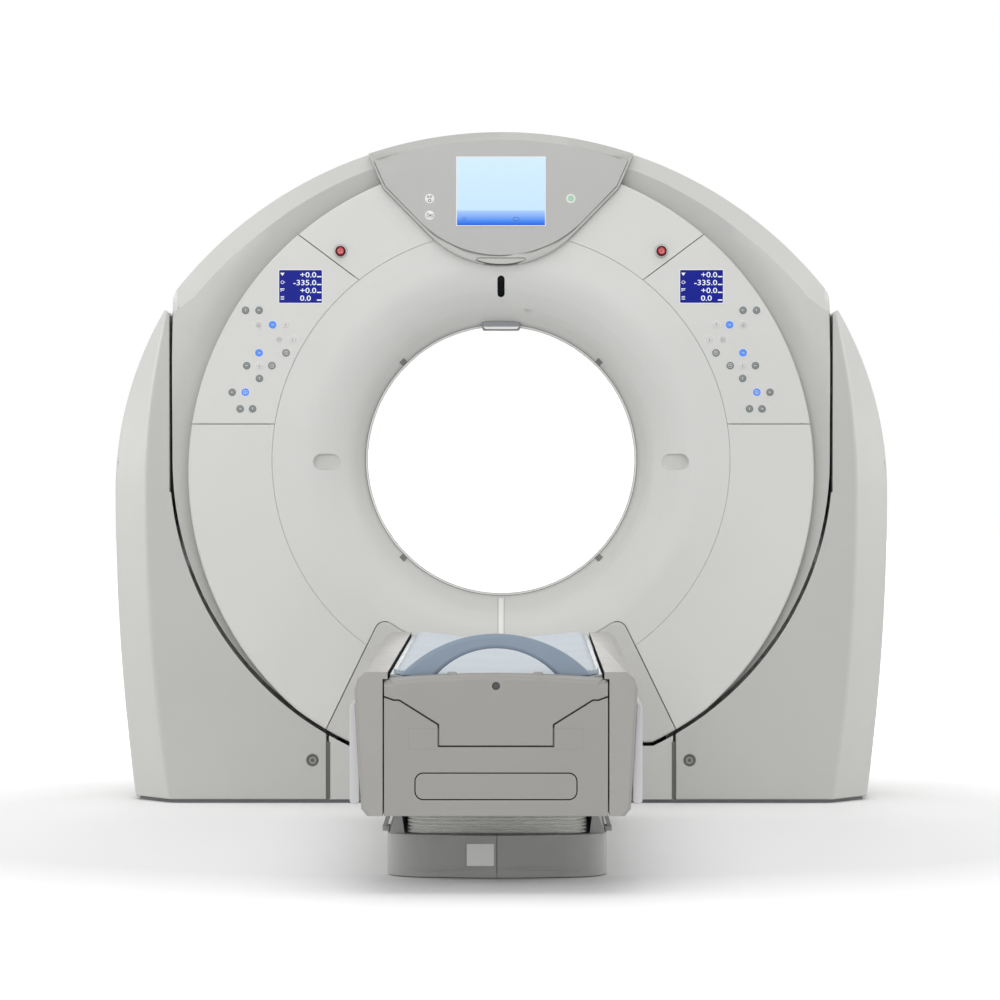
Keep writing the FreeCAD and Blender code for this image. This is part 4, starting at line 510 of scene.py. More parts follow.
JOINT_SHADE_AND_FASCIA = {  # another material for the faces whose normal n and centre c are such: painted shade on the walls of joints, on ledges behind them and in a groove, and the console's fascia in its own grey
    "end_lid": (SEAM_SHADE, lambda n, c: abs(n.y) < 0.5 and c.z < 0.489),  # its sides below its crowned top, in painted shade
    "end_cover": (SEAM_SHADE, end_cover_joint),
    **dict.fromkeys(COUCH_SIDES, (SEAM_SHADE, beside_end_cover)),
    "base_covers": (JOINT_SHADE_AND_PLUG_GREY, base_joint),
    "lower_front_panel": (SEAM_SHADE, lambda n, c: abs(n.y) < 0.5 and c.z > 0.2),
    "console_housing": (FASCIA, lambda n, c: n.y < -0.9 and abs(c.y - CONSOLE_FACE) < 0.0006),
}
SOFT_EDGED = {  # width of the soft edges: nodes
    0.0008: ("front_funnel", "rear_funnel"),
    0.001: ("base_guards",),
    0.0012: ("control_panel_left", "control_panel_right"),
    0.0015: ("front_cover", "rear_cover", "lower_front_panel", "end_lid", "end_cover", "bore_lamp"),
    0.002: ("console_housing", "base_covers", "far_end_cover", "tabletop", "bumper_strips"),
    0.003: ("outer_shroud", *SIDE_COVERS, *COUCH_SIDES, "couch_base_cover_left", "couch_base_cover_right"),
    0.004: ("arch_handle",),
}
WING_BACK_Y = 0.28  # where a side cover's sloping bands meet its flat side
WING_TIP_X = 0.96  # a side cover's tip narrows towards this distance from the middle plane
WING_EDGE = 0.012  # width of its soft creases
LID_EDGE = 0.016


def wing_crease(edge, angle):
    """Share of full width on the creases between a side cover's face, sloping band and side."""
    a, b = (v.co for v in edge.verts)
    near = min(abs(a.x), abs(b.x))
    on_line = any(all(abs(abs(p.y) - y) < 0.001 for p in (a, b)) for y in (HALF_DEPTH, WING_BACK_Y))
    outside = near > (0.9575 if a.z < 0.5 else 0.9655) and min(a.z, b.z) > 0.02
    outward = all(f.normal.x * a.x > -0.05 for f in edge.link_faces)
    upright = abs(a.z - b.z) > 0.3 * edge.calc_length() and angle > 0.05
    room = (near - WING_TIP_X) * 0.45 / WING_EDGE if a.z > 0.5 else 1.0
    return min(1.0, max(room, 0.1)) if on_line and outside and outward and upright else 0.0


def lid_top_edge(edge, angle):
    near = all(v.co.y < -3.229 and v.co.z > 0.49 for v in edge.verts)
    return float(near and angle > radians(40))


WIDE_EDGES = {**dict.fromkeys(SIDE_COVERS, (wing_crease, WING_EDGE)), "end_lid": (lid_top_edge, LID_EDGE)}


def refine(node, width):
    """A copy of a CAD node with soft edges that stands for it."""
    obj = welded_copy(node, node + "_soft")
    obj.data.materials.append(material_of(node))
    if node in JOINT_SHADE_AND_FASCIA:
        second, applies = JOINT_SHADE_AND_FASCIA[node]
        obj.data.materials.append(second)
        for face in obj.data.polygons:
            face.material_index = int(applies(face.normal, face.center))
    smooth_angle = 60.0 if node in COUCH_SIDES else 34.0
    soften(obj, width, smooth_angle, *WIDE_EDGES.get(node, (None, 0.0)))
    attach(obj, body_of[node])
    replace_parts(obj, node)


for width, nodes in SOFT_EDGED.items():
    for node in nodes:
        refine(node, width)


# -------- forms of small pieces
def add_piece(name, work, slot, material=None, body="housing", sharp=40.0):
    """A mesh piece that rides on a body, with its slot's material or another."""
    bmesh.ops.recalc_face_normals(work, faces=work.faces)
    obj = mesh_object(name, work)
    obj.data.shade_smooth()
    obj.data.set_sharp_from_angle(angle=radians(sharp))
    obj.data.materials.append(material or materials[slot])
    if body:
        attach(obj, body)
    return obj


def bridge(work, rings, closed_rings=True):
    """Faces between successive rings; a ring of one point is a tip."""
    for a, b in zip(rings, rings[1:]):
        count = max(len(a), len(b))
        for i in range(count if closed_rings else count - 1):
            j = (i + 1) % count
            corners = [a[i % len(a)], a[j % len(a)], b[j % len(b)], b[i % len(b)]]
            face = [c for k, c in enumerate(corners) if c not in corners[:k]]
            if len(face) > 2:
                work.faces.new(face)


def close_ends(work, rings):
    work.faces.new(rings[0])
    work.faces.new(rings[-1])


def circle_points(x, z, radius, steps):
    turns = [2 * pi * i / steps for i in range(steps)]
    return [(x + radius * cos(t), z + radius * sin(t)) for t in turns]


def outline_ring(work, outline, y):
    return [work.verts.new((x, y, z)) for x, z in outline]


def add_turned(work, x, z, face, profile, steps=28):
    """A form turned about the line through (x, z) along Y, from (radius, depth behind the face)."""
    rings = []
    for radius, depth in profile:
        outline = circle_points(x, z, radius, steps) if radius else [(x, z)]
        rings.append(outline_ring(work, outline, face + depth))
    bridge(work, rings)


def turned_piece(name, x, z, face, profile, steps, *finish):
    work = bmesh.new()
    add_turned(work, x, z, face, profile, steps)
    return add_piece(name, work, *finish)


def add_slab(work, outline, layer, edge=0.0):
    """A flat piece with an outline of (x, z) points between two depths, its front edge eased."""
    front, back = layer
    cx, cz = (sum(values) / len(outline) for values in zip(*outline))
    eased = []
    for x, z in outline:
        k = 1 - edge / hypot(x - cx, z - cz)
        eased.append((cx + (x - cx) * k, cz + (z - cz) * k))
    rings = [outline_ring(work, eased, front)]
    if edge:
        rings.append(outline_ring(work, outline, front + edge))
    rings.append(outline_ring(work, outline, back))
    bridge(work, rings)
    close_ends(work, rings)


def add_band(work, outer, inner, layer):
    """A flat frame between two outlines with the same number of points."""
    front, back = layer
    section = ((outer, back), (outer, front), (inner, front), (inner, back))
    rings = [outline_ring(work, outline, y) for outline, y in section]
    bridge(work, rings + rings[:1])


def rounded(x0, x1, z0, z1, radius, steps=5):
    """Outline of a rectangle with round corners."""
    left, right, low, high = x0 + radius, x1 - radius, z0 + radius, z1 - radius
    points = []
    for quarter, (x, z) in enumerate(((right, high), (left, high), (left, low), (right, low))):
        for i in range(steps + 1):
            turn = radians(90 * quarter + 90 * i / steps)
            points.append((x + radius * cos(turn), z + radius * sin(turn)))
    return points


def add_frame(work, x0, x1, z0, z1, width, radii, layer, steps=5):
    """A flat frame of one width inside a rectangle, with its outer and inner corner radius."""
    outer = rounded(x0, x1, z0, z1, radii[0], steps)
    inner = rounded(x0 + width, x1 - width, z0 + width, z1 - width, radii[1], steps)
    add_band(work, outer, inner, layer)


def bar(work, x, z, width, height, layer, lean=0.0):
    """A small straight mark, turned by lean degrees."""
    c, s = cos(radians(lean)), sin(radians(lean))
    u, v = width / 2, height / 2
    corners = [(-u, -v), (u, -v), (u, v), (-u, v)]
    add_slab(work, [(x + p * c - q * s, z + p * s + q * c) for p, q in corners], layer)


def ring_mark(work, x, z, radius, width, layer, steps=24):
    add_band(work, circle_points(x, z, radius, steps), circle_points(x, z, radius - width, steps), layer)


# -------- keys on the sealed films
KEY_R = 0.0116
KEY_FOOT = 0.0004  # how far the keys reach into the film
KEY_ROWS = {  # height over the isocentre: distances from the middle plane
    0.433: (0.739, 0.7),
    0.391: (0.701, 0.661, 0.623),
    0.349: (0.642, 0.603),
    0.31: (0.7, 0.622),
    0.273: (0.736, 0.699, 0.663),
    0.236: (0.699,),
    0.196: (0.778, 0.74),
    0.148: (0.755, 0.719),
}
LIT_KEYS = {(0.391, 0.661), (0.31, 0.7), (0.196, 0.74)}
CLEAR_KEYS = {(0.391, 0.701), (0.391, 0.623), (0.349, 0.642), (0.349, 0.603), (0.273, 0.699)}
KEY_DOME = [(0, -0.0017), (0.005, -0.0016), (0.009, -0.0012), (KEY_R - 0.0003, -0.0005)]
KEY_DOME += [(KEY_R - 0.0003, KEY_FOOT), (0, KEY_FOOT)]
KEY_PIECES = {  # piece: material, slot
    "key_rims": (PALE, "cover"),
    "keys_dark": (moulded("key_dark", "#7B8181", 0.35), "cover"),
    "keys_clear": (moulded("key_clear", "#CFCFCD", 0.4), "cover"),
    "keys_lit": (glowing("key_lit", "#5B90F0", 0.9), "display"),
    "key_marks": (PALE, "cover"),
    "clear_key_marks": (LINE_GREY, "cover"),
}


def key_rim(width):
    outer, middle = KEY_R + width, KEY_R + width / 2
    rim = [(outer, KEY_FOOT), (outer, -0.0004), (middle, -0.0009), (KEY_R, -0.0004), (KEY_R, KEY_FOOT)]
    return rim + rim[:1]


def key_mark(work, x, z, number):
    """A plain arrow that points another way from key to key, in a ring on every third one."""
    layer = (FACE_Y - 0.002, FACE_Y - 0.0012)
    lean = 90 * (number % 4)
    turn = radians(lean)
    bar(work, x, z, 0.0062, 0.0012, layer, lean)
    for barb in (-45, 45):
        bar(work, x + cos(turn) * 0.0022, z + sin(turn) * 0.0022, 0.004, 0.0011, layer, lean + barb)
    if number % 3 == 0:
        ring_mark(work, x, z, 0.0064, 0.0008, layer, 16)


def key_pad(side, hand):
    """Domed keys, their pale rims and plain direction marks, pressed up from the film."""
    works = {name: bmesh.new() for name in KEY_PIECES}
    keys = [(dz, distance) for dz, row in KEY_ROWS.items() for distance in row]
    for number, (dz, distance) in enumerate(keys, 1):
        x, z = side * distance, ISO_Z + dz
        is_lit, is_clear = (dz, distance) in LIT_KEYS, (dz, distance) in CLEAR_KEYS
        kind = "keys_lit" if is_lit else "keys_clear" if is_clear else "keys_dark"
        add_turned(works["key_rims"], x, z, FACE_Y, key_rim(0.0016 if is_lit else 0.0012))
        add_turned(works[kind], x, z, FACE_Y, KEY_DOME)
        key_mark(works["clear_key_marks" if is_clear else "key_marks"], x, z, number)
    for name, (material, slot) in KEY_PIECES.items():
        add_piece(f"{name}_{hand}", works[name], slot, material)


# -------- position displays
DIGIT_STRETCH = 1.22  # the figures on the displays are broad
DIGIT_SIZE = 0.0218
DISPLAY_HALF_W = 0.062
DISPLAY_INSET = 0.0036  # from the node's top and foot to the lit field
DISPLAY_ROWS = (  # figures, their right edge from the field's left, their foot from its top
    ("+0.0", 0.1079, 0.021),
    ("-335.0", 0.1079, 0.0437),
    ("+0.0", 0.1079, 0.0664),
    ("0.0", 0.0924, 0.0886),
)


def add_text(work, text, right, baseline, layer):
    """Plain figures that end at a right edge, as a mesh that faces the couch."""
    curve = bpy.data.curves.new("figures", "FONT")
    assign(curve, body=text, size=DIGIT_SIZE, align_x="RIGHT", offset=DIGIT_SIZE * 0.006, resolution_u=3)
    curve.extrude = (layer[1] - layer[0]) / 2
    obj = link_object("figures", curve)
    bpy.context.view_layer.update()
    mesh = bpy.data.meshes.new_from_object(obj.evaluated_get(bpy.context.evaluated_depsgraph_get()))
    start = len(work.verts)
    work.from_mesh(mesh)
    work.verts.ensure_lookup_table()
    for vert in work.verts[start:]:
        x, z, lift = vert.co
        vert.co = (right + x * DIGIT_STRETCH, sum(layer) / 2 - lift, baseline + z)
    bpy.data.batch_remove((obj, curve, mesh))


def display_icons(work, x, top, layer):
    """One plain symbol before each row of figures."""
    z = top - 0.0118
    add_slab(work, [(x - 0.006, z + 0.004), (x + 0.006, z + 0.004), (x, z - 0.005)], layer)
    z = top - 0.0353
    ring_mark(work, x, z, 0.0048, 0.0013, layer)
    bar(work, x + 0.006, z, 0.003, 0.0013, layer)
    z = top - 0.058
    bar(work, x, z + 0.004, 0.012, 0.0018, layer)
    bar(work, x - 0.004, z, 0.002, 0.008, layer)
    bar(work, x + 0.0015, z, 0.006, 0.0018, layer)
    z = top - 0.0806
    for lift in (-0.004, 0.0, 0.004):
        bar(work, x, z + lift, 0.01, 0.0016, layer)


def position_display(side, hand):
    """Pale rim, figures and symbols on the blue field."""
    low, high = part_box("position_displays")
    centre = side * DISPLAY_X
    left, right = centre - DISPLAY_HALF_W, centre + DISPLAY_HALF_W
    foot, top = low.z + DISPLAY_INSET, high.z - DISPLAY_INSET
    rim, radii = 0.0022, (0.005, 0.003)
    work = bmesh.new()
    layer = (FACE_Y - 0.0003, FACE_Y + 0.0008)
    add_frame(work, left - rim, right + rim, foot - rim, top + rim, rim, radii, layer)
    add_piece("display_frame_" + hand, work, "cover", PALE)
    work = bmesh.new()
    layer = (low.y - 0.0006, low.y + 0.0002)
    for text, across, down in DISPLAY_ROWS:
        add_text(work, text, left + across, top - down, layer)
        bar(work, left + 0.116, top - down + 0.0018, 0.013, 0.0034, layer)
    display_icons(work, left + 0.0095, top, layer)
    add_piece("display_figures_" + hand, work, "display", DIGITS, sharp=30.0)


for side, hand in SIDES:
    key_pad(side, hand)
    position_display(side, hand)


# -------- console
UPPER_KEY_Z = ISO_Z + 0.755
LOWER_KEY_Z = ISO_Z + 0.707


def screen_details():
    """Pale bezel and two outline marks on the screen's bar; the bezel's pale colour is a painted highlight
    on the screen's edge.
    """
    low, high, out = SCREEN_LOW, SCREEN_HIGH, 0.0018
    work = bmesh.new()
    layer = (CONSOLE_FACE - 0.0022, CONSOLE_FACE + 0.0002)
    box = (low.x - out, high.x + out, low.z - out, high.z + out)
    add_frame(work, *box, out + 0.0006, (0.002, 0.001), layer)
    # pale bezel: painted highlight
    add_piece("screen_bezel_highlight", work, "console", PALE)
    work = bmesh.new()
    layer = (low.y - 0.0004, low.y + 0.0002)
    ring_mark(work, -0.1068, low.z + 0.019, 0.0052, 0.0011, layer, 8)
    add_frame(work, 0.0355, 0.0525, low.z + 0.0135, low.z + 0.0245, 0.0012, (0.005, 0.004), layer)
    add_piece("screen_marks", work, "screen", moulded("screen_mark", "#143A8C", 0.3))


def console_symbols():
    """Two round pale fields with generic symbols, left of the screen."""
    x = -0.206
    layer = (CONSOLE_FACE - 0.0004, CONSOLE_FACE + 0.0002)
    work = bmesh.new()
    for dx in (-0.0042, 0.0042):
        ring_mark(work, x + dx, UPPER_KEY_Z + 0.0058, 0.0034, 0.0016, layer, 14)
    ring_mark(work, x, UPPER_KEY_Z - 0.0052, 0.0048, 0.0018, layer, 16)
    z = LOWER_KEY_Z
    box = (x - 0.009, x + 0.01, z - 0.0055, z + 0.0035)
    add_frame(work, *box, 0.0012, (0.0015, 0.0006), layer, 2)
    bar(work, x - 0.005, z + 0.0065, 0.007, 0.0014, layer)
    bar(work, x + 0.001, z - 0.001, 0.01, 0.0022, layer)
    add_piece("console_icons", work, "console", INK)
    work = bmesh.new()
    for z in (UPPER_KEY_Z, LOWER_KEY_Z):
        field = [(0, -0.0002), (0.0132, -0.0002), (0.0138, 0.0003), (0, 0.0003)]
        add_turned(work, x, z, CONSOLE_FACE, field)
    add_piece("console_icon_fields", work, "console", PALE)


def ring_key():
    """Rim and ring mark of the green key, right of the screen."""
    x, z = RING_KEY_X, UPPER_KEY_Z
    rim = [(0.0132, 0.0004), (0.0132, -0.0006), (0.0118, -0.0012), (0.0098, -0.001), (0.0092, 0.0004)]
    turned_piece("console_key_ring", x, z, CONSOLE_FACE, rim + rim[:1], 28, "console", PALE)
    work = bmesh.new()
    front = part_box("console_key")[0].y
    layer = (front - 0.0004, front + 0.0004)
    ring_mark(work, x, z, 0.007, 0.0022, layer)
    ring_mark(work, x, z, 0.0024, 0.0018, layer, 12)
    add_piece("console_key_mark", work, "key_light", moulded("key_mark", "#7FB48C", 0.4))


def console_inlay():
    """Crescent at the console's lower tip, between its round foot and a straight top."""
    half, foot, top, radius = 0.07, ISO_Z + 0.5662, ISO_Z + 0.5825, 0.215
    across = [-half + 2 * half * i / 14 for i in range(15)]
    outline = [(x, foot + radius - sqrt(radius**2 - x**2)) for x in across]
    end = [(half + 0.0012, top - 0.004), (half - 0.003, top)]
    outline += end + [(-x, z) for x, z in end[::-1]]
    work = bmesh.new()
    add_slab(work, outline, (CONSOLE_FACE - 0.0036, CONSOLE_FACE - 0.0016), 0.0012)
    add_piece("console_inlay", work, "console")


screen_details()
console_symbols()
ring_key()
console_inlay()


# -------- emergency stops, lamp, mouth
def stop_button(side, hand):
    """Domed red button with its darker ring and a pale ring on its dome that is a painted highlight, in
    place of the plain stem.
    """
    body, node = "estop_" + hand, "estop_button_" + hand
    low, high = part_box(node)
    x, z, front = side * STOP_X, (low.z + high.z) / 2, low.y
    cap = [(0, 0.0012), (0.006, 0.0009), (0.0092, 0.0002), (0.0106, 0.0012), (0.0112, 0.004)]
    cap += [(0.0112, 0.0095), (0, 0.0095)]
    piece = turned_piece("stop_cap_" + hand, x, z, front, cap, 40, "stop_red", None, body)
    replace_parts(piece, node)
    stem = 0.0083
    ring = [(0.0113, 0.0093), (0.0113, 0.004), (0.0126, 0.0026), (0.0149, 0.0044), (0.0149, 0.011)]
    ring += [(stem, 0.011), (stem, high.y - front), (0, high.y - front), (0, 0.0096), (0.0113, 0.0096)]
    piece = turned_piece("stop_ring_" + hand, x, z, front, ring, 40, "stop_red", STOP_DARK, body)
    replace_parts(piece, node)
    # pale ring on the dome: painted highlight
    work = bmesh.new()
    ring_mark(work, x, z, 0.0062, 0.0014, (front + 0.0003, front + 0.0012))
    add_piece("stop_highlight_" + hand, work, "stop_red", STOP_HIGHLIGHT, body)


def bore_ring(name, profile, slot, material=None):
    """A ring about the tunnel's axis from (radius, y) pairs."""
    work = bmesh.new()
    add_turned(work, 0.0, ISO_Z, 0.0, profile + profile[:1], 192)
    bmesh.ops.remove_doubles(work, verts=work.verts, dist=0.000001)
    return add_piece(name, work, slot, material, sharp=30.0)


def tunnel_rings():
    """The liner with rounded ends, two thin grey rings at its lip and the bead round the flare; the outer
    ring is painted shade of the gap between the flare and the liner.
    """
    low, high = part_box("scan_window")
    edge = 0.0012
    profile = [(BORE_R + edge, low.y), (BORE_R, low.y + edge), (BORE_R, high.y - edge)]
    profile += [(BORE_R + edge, high.y), (high.x, high.y), (high.x, low.y)]
    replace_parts(bore_ring("tunnel_liner", profile, slot_of["scan_window"]), "scan_window")
    for name, slot, material, inner, width, front, back in (
        # the outer ring is painted shade in the gap at the liner's lip
        ("mouth_gap_shade", "cup_grey", LINE_GREY, LIP_R - 0.0016, 0.002, low.y - 0.0035, low.y - 0.0002),
        ("mouth_lip_ring", "cup_grey", SHELL, BORE_R - 0.0008, 0.0022, low.y - 0.0006, low.y + 0.003),
        ("funnel_joint_bead", "cover", COVER, 0.5702, 0.0014, -HALF_DEPTH + 0.0006, -HALF_DEPTH + 0.003),
    ):
        outer = inner + width
        bore_ring(name, [(inner, front), (inner, back), (outer, back), (outer, front)], slot, material)


def mouth_strip(name, offset, half, lift, material):
    """Upright strip on the flare from the mouth's lower lip to the lower panel."""
    start, end, sunk = LIP_R + 0.006, 0.5705, -0.0006
    work = bmesh.new()
    rows = []
    for i in range(21):
        reach = start + (end - start) * i / 20
        row = []
        for dx, proud in ((-half, sunk), (-half, lift), (half, lift), (half, sunk)):
            x = offset + dx
            z = ISO_Z - sqrt(reach**2 - x**2)
            row.append(work.verts.new((x, mouth_y(reach) - proud, z)))
        rows.append(row)
    bridge(work, rows)
    close_ends(work, rows)
    add_piece(name, work, "cover", material, sharp=30.0)


def finger_cup(side, hand):
    """Oval scoop beside the mouth, deep at its outer end and running out towards the bore."""
    low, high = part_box("grip_cups")
    length, wall_share, least, more = 0.0774, 0.2, 0.0014, 0.0165
    centre_x, centre_z = high.x - length / 2, (low.z + high.z) / 2
    corner = (high.z - low.z) / 2 - 0.0002
    outline = rounded(high.x - length, high.x, low.z, high.z, corner, 9)
    work = bmesh.new()

    def ring(share, y=None):
        wall = min(1.0, (1 - share) / wall_share)
        wall = wall * wall * (3 - 2 * wall)
        points = []
        for x, z in outline:
            px, pz = centre_x + (x - centre_x) * share, centre_z + (z - centre_z) * share
            along = max(0.0, (px - high.x + length) / length)
            scoop = mouth_y(hypot(px, pz - ISO_Z)) + wall * (least + more * along**1.2)
            points.append(work.verts.new((side * px, scoop if y is None else y, pz)))
        return points

    back = high.y - 0.0004
    rings = [ring(i / 16) for i in range(1, 17)] + [ring(1.0, back), ring(0.3, back)]
    bridge(work, rings)
    close_ends(work, rings)
    piece = add_piece("finger_cup_" + hand, work, "cup_grey", sharp=60.0)
    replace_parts(piece, "grip_cups")


def lamp_lens():
    """Light strip along the foot of the lamp block, over a darker one."""
    low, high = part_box("bore_lamp")
    for name, foot, top, inset_foot, inset_top, material in (
        ("lamp_lens", 0.0046, 0.0118, 0.01, 0.003, PALE),
        ("lamp_foot", 0.0004, 0.004, 0.014, 0.011, CLIP_DARK),
    ):
        outline = [(low.x + inset_foot, low.z + foot), (high.x - inset_foot, low.z + foot)]
        outline += [(high.x - inset_top, low.z + top), (low.x + inset_top, low.z + top)]
        work = bmesh.new()
        add_slab(work, outline, (low.y - 0.0008, low.y + 0.0006))
        add_piece(name, work, "dark_window", material)


def round_mark():
    """Small raised rings beside the lamp."""
    x, z = 0.0783, 1.4306
    y = mouth_y(hypot(x, z - ISO_Z))
    work = bmesh.new()
    ring_mark(work, x, z, 0.0095, 0.0014, (y - 0.0012, y + 0.003), 28)
    ring_mark(work, x, z, 0.0035, 0.0012, (y - 0.001, y + 0.003), 16)
    add_piece("round_mark", work, "cover", materials["console"])


def cover_cap(side, hand):
    """Ring and centre of the screw plug in a side cover's foot."""
    low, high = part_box("cover_caps")
    x, z = side * (high.x - (high.z - low.z) / 2), (low.z + high.z) / 2
    finish = ("cup_grey", JOINT_SHADE_AND_PLUG_GREY, "stand")
    ring = [(0.0165, 0.0004), (0.015, -0.001), (0.012, -0.001), (0.0105, 0.0004)]
    turned_piece("cap_ring_" + hand, x, z, low.y, ring + ring[:1], 40, *finish)
    centre = [(0, -0.0006), (0.0038, -0.0006), (0.0044, 0.0003), (0, 0.0003)]
    turned_piece("cap_centre_" + hand, x, z, low.y, centre, 24, *finish)


def joint_shade_bars():
    """Dark bars in the joints between the base covers and the side covers: painted shade."""
    work = bmesh.new()
    for side in (-1, 1):
        for back in (-1, 1):
            layer = sorted((back * (HALF_DEPTH + 0.0007), back * (HALF_DEPTH - 0.01)))
            bar(work, side * 0.49975, 0.0945, 0.0105, 0.165, layer)
    add_piece("joint_shade_bars", work, "cup_grey", JOINT_SHADE_AND_PLUG_GREY, "stand", sharp=30.0)


for side, hand in SIDES:
    stop_button(side, hand)
    finger_cup(side, hand)
    cover_cap(side, hand)
    # two grey lines along the pale strip's sides: painted shade
    mouth_strip("mouth_strip_shade_line_" + hand, side * 0.0087, 0.0007, 0.0004, LINE_GREY)
mouth_strip("mouth_strip", 0.0, 0.0078, 0.0006, PALE)
tunnel_rings()
lamp_lens()
round_mark()
joint_shade_bars()


# -------- couch end
def couch_end():
    """Thin grey outlines of two squares on the end cover, painted shade of groove lines, and the lid's two
    buffers and its sunk screw.
    """
    work = bmesh.new()
    layer = (COUCH_FACE - 0.0002, COUCH_FACE + 0.0006)
    for x0, x1 in ((-0.201, -0.1325), (0.1325, 0.201)):
        add_frame(work, x0, x1, 0.334, 0.383, 0.001, (0.001, 0.001), layer, 1)
    add_piece("end_cover_square_lines", work, "couch_cover", LINE_GREY, "couch_body")
    work = bmesh.new()
    for x in (-0.101, 0.097):
        outline = rounded(x - 0.011, x + 0.011, 0.505, 0.5122, 0.003)
        add_slab(work, outline, (COUCH_FACE + 0.0075, COUCH_FACE + 0.0175), 0.001)
    add_piece("lid_buffers", work, "couch_cover", COUCH_END_SHADED, "couch_body")
    screw = [(0, 0.006), (0.0075, 0.006), (0.0075, 0.014), (0, 0.014)]
    lid_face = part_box("end_lid")[0].y
    turned_piece("lid_screw", 0.0, 0.4795, lid_face, screw, 24, "couch_cover", INK, "couch_body")


def couch_base():
    """Bead along the foot of the base covers, and the bare plate on the left one."""
    work = bmesh.new()
    for x0, x1 in ((-0.205, -0.002), (0.002, 0.205)):
        outline = [(x0, 0.0225), (x1, 0.0225), (x1, 0.0255), (x0, 0.0255)]
        add_slab(work, outline, (BASE_FACE - 0.001, BASE_FACE + 0.0006), 0.0006)
    add_piece("base_skirt_bead", work, "base_cover_grey", body="stand")
    work = bmesh.new()
    outline = rounded(-0.072, -0.007, 0.03, 0.083, 0.002, 2)
    add_slab(work, outline, (BASE_FACE - 0.0008, BASE_FACE + 0.0006), 0.0003)
    add_piece("bare_plate", work, "base_cover_grey", PALE, "stand")


def bellows():
    """Folded skirt between the couch's base and its body, at its rest height; it rides on no body, so it
    does not stretch as the couch lifts.
    """
    low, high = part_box("bellows")
    folds, per_fold, depth, corner, clear = 9, 6, 0.008, 0.05, 0.0004
    work = bmesh.new()

    def loop(z, inset):
        x, y0, y1 = high.x - inset, low.y + inset, high.y - inset
        outline = rounded(-x, x, y0, y1, corner - inset * 0.5, 7)
        return [work.verts.new((x, y, z)) for x, y in outline]

    rings = []
    steps = folds * per_fold
    for i in range(steps + 1):
        share = i / steps
        crease = abs(cos(pi * share * folds))
        z = low.z + clear + (high.z - low.z - 2 * clear) * share
        rings.append(loop(z, clear + depth * crease**3))
    inner = [loop(ring[0].co.z, depth + 0.004) for ring in (rings[-1], rings[0])]
    bridge(work, rings + inner + [rings[0]])
    piece = add_piece("bellows_skirt", work, "bellows_rubber", body=None, sharp=60.0)
    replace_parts(piece, "bellows")
    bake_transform(piece)


couch_end()
couch_base()
bellows()


# -------- mat
MAT_CAP = 0.004  # how far the filling may push the cover out
MAT_LOW, MAT_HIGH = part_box("table_mat")
MAT_BOTTOM = MAT_LOW.z + 0.0004
DISH_HALF = MAT_HIGH.x - 0.003
DISH_RISE = 0.021  # from the dish's middle to the mat's edges
DISH_R = (DISH_HALF**2 + DISH_RISE**2) / (2 * DISH_RISE)
MAT_THICK = 0.0105
MAT_EDGE = 0.0018  # thickness that is left at the edges


def dish(x):
    """Height of the dished tabletop under the mat."""
    return MAT_BOTTOM + DISH_R - sqrt(DISH_R**2 - x**2)


def roundness(share):
    return sqrt(max(0.0, 1 - (1 - min(share, 1.0)) ** 2))


def mat_form():
    """The mat's closed form on the dished tabletop: sides, crowned top and bottom on the dish."""
    y0, y1 = MAT_LOW.y + 0.002, MAT_HIGH.y - 0.002
    columns, rows = 44, 190
    work = bmesh.new()
    top, bottom = [], []
    for j in range(rows + 1):
        y = y0 + (y1 - y0) * (j / rows)
        end = min(y - y0, y1 - y) / 0.03
        top_row, bottom_row = [], []
        for i in range(columns + 1):
            u = -1 + 2 * i / columns
            full = roundness((1 - abs(u)) * DISH_HALF / 0.026) * roundness(end)
            pull = 0.004 * (1 - min(end, 1.0)) * abs(u) ** 6
            x = u * DISH_HALF - copysign(pull, u)
            bottom_row.append(work.verts.new((x, y, dish(x))))
            top_row.append(work.verts.new((x, y, dish(x) + MAT_THICK * full + MAT_EDGE)))
        top.append(top_row)
        bottom.append(bottom_row)
    edges = []
    for sheet in (top, bottom):
        bridge(work, sheet, False)
        far, near = [r[-1] for r in sheet[1:-1]], [r[0] for r in sheet[-2:0:-1]]
        edges.append(sheet[0] + far + sheet[-1][::-1] + near)
    bridge(work, edges)
    return work


def fill_mat(obj):
    """Cloth pass: the filling presses the cover outwards a little."""
    cloth = obj.modifiers.new("filling", "CLOTH")
    assign(cloth.settings, quality=5, mass=0.2, use_pressure=True, uniform_pressure_force=4)
    assign(cloth.settings, tension_stiffness=25, compression_stiffness=15, bending_stiffness=2)
    cloth.settings.effector_weights.gravity = 0
    cloth.collision_settings.use_collision = False
    for frame_number in range(1, 21):
        scene.frame_set(frame_number)
    filled = obj.evaluated_get(bpy.context.evaluated_depsgraph_get()).to_mesh()
    places = [v.co.copy() for v in filled.vertices]
    obj.to_mesh_clear()
    obj.modifiers.clear()
    scene.frame_set(1)
    return places


def slack(x, y):
    """Shallow folds of the cover, deeper towards the near end."""
    near = max(0.0, 1 - (y - MAT_LOW.y) / 0.9)
    fold = sin((x * 0.9 + y * 1.3) * 34.0) * 0.0006 + sin((x - y * 0.7) * 21.0) * 0.0005
    return fold * (0.5 + near)


def make_mat():
    """The padded mat, filled by the cloth pass within its cap and laid on the dish."""
    mat = add_piece("couch_mat", mat_form(), "mat_fabric", body="table", sharp=70.0)
    start = [v.co.copy() for v in mat.data.vertices]
    places = fill_mat(mat)
    for vert, before, after in zip(mat.data.vertices, start, places):
        move = after - before
        if move.length > MAT_CAP:
            move *= MAT_CAP / move.length
        co = before + move
        if before.z > dish(before.x) + 0.0008:
            co.z = max(co.z, dish(co.x) + 0.0012)
            co.z += slack(co.x, co.y)
        else:
            co.z = dish(co.x)
        vert.co = co
    smooth = mat.modifiers.new("smooth", "SUBSURF")
    smooth.levels = smooth.render_levels = 1
    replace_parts(mat, "table_mat")


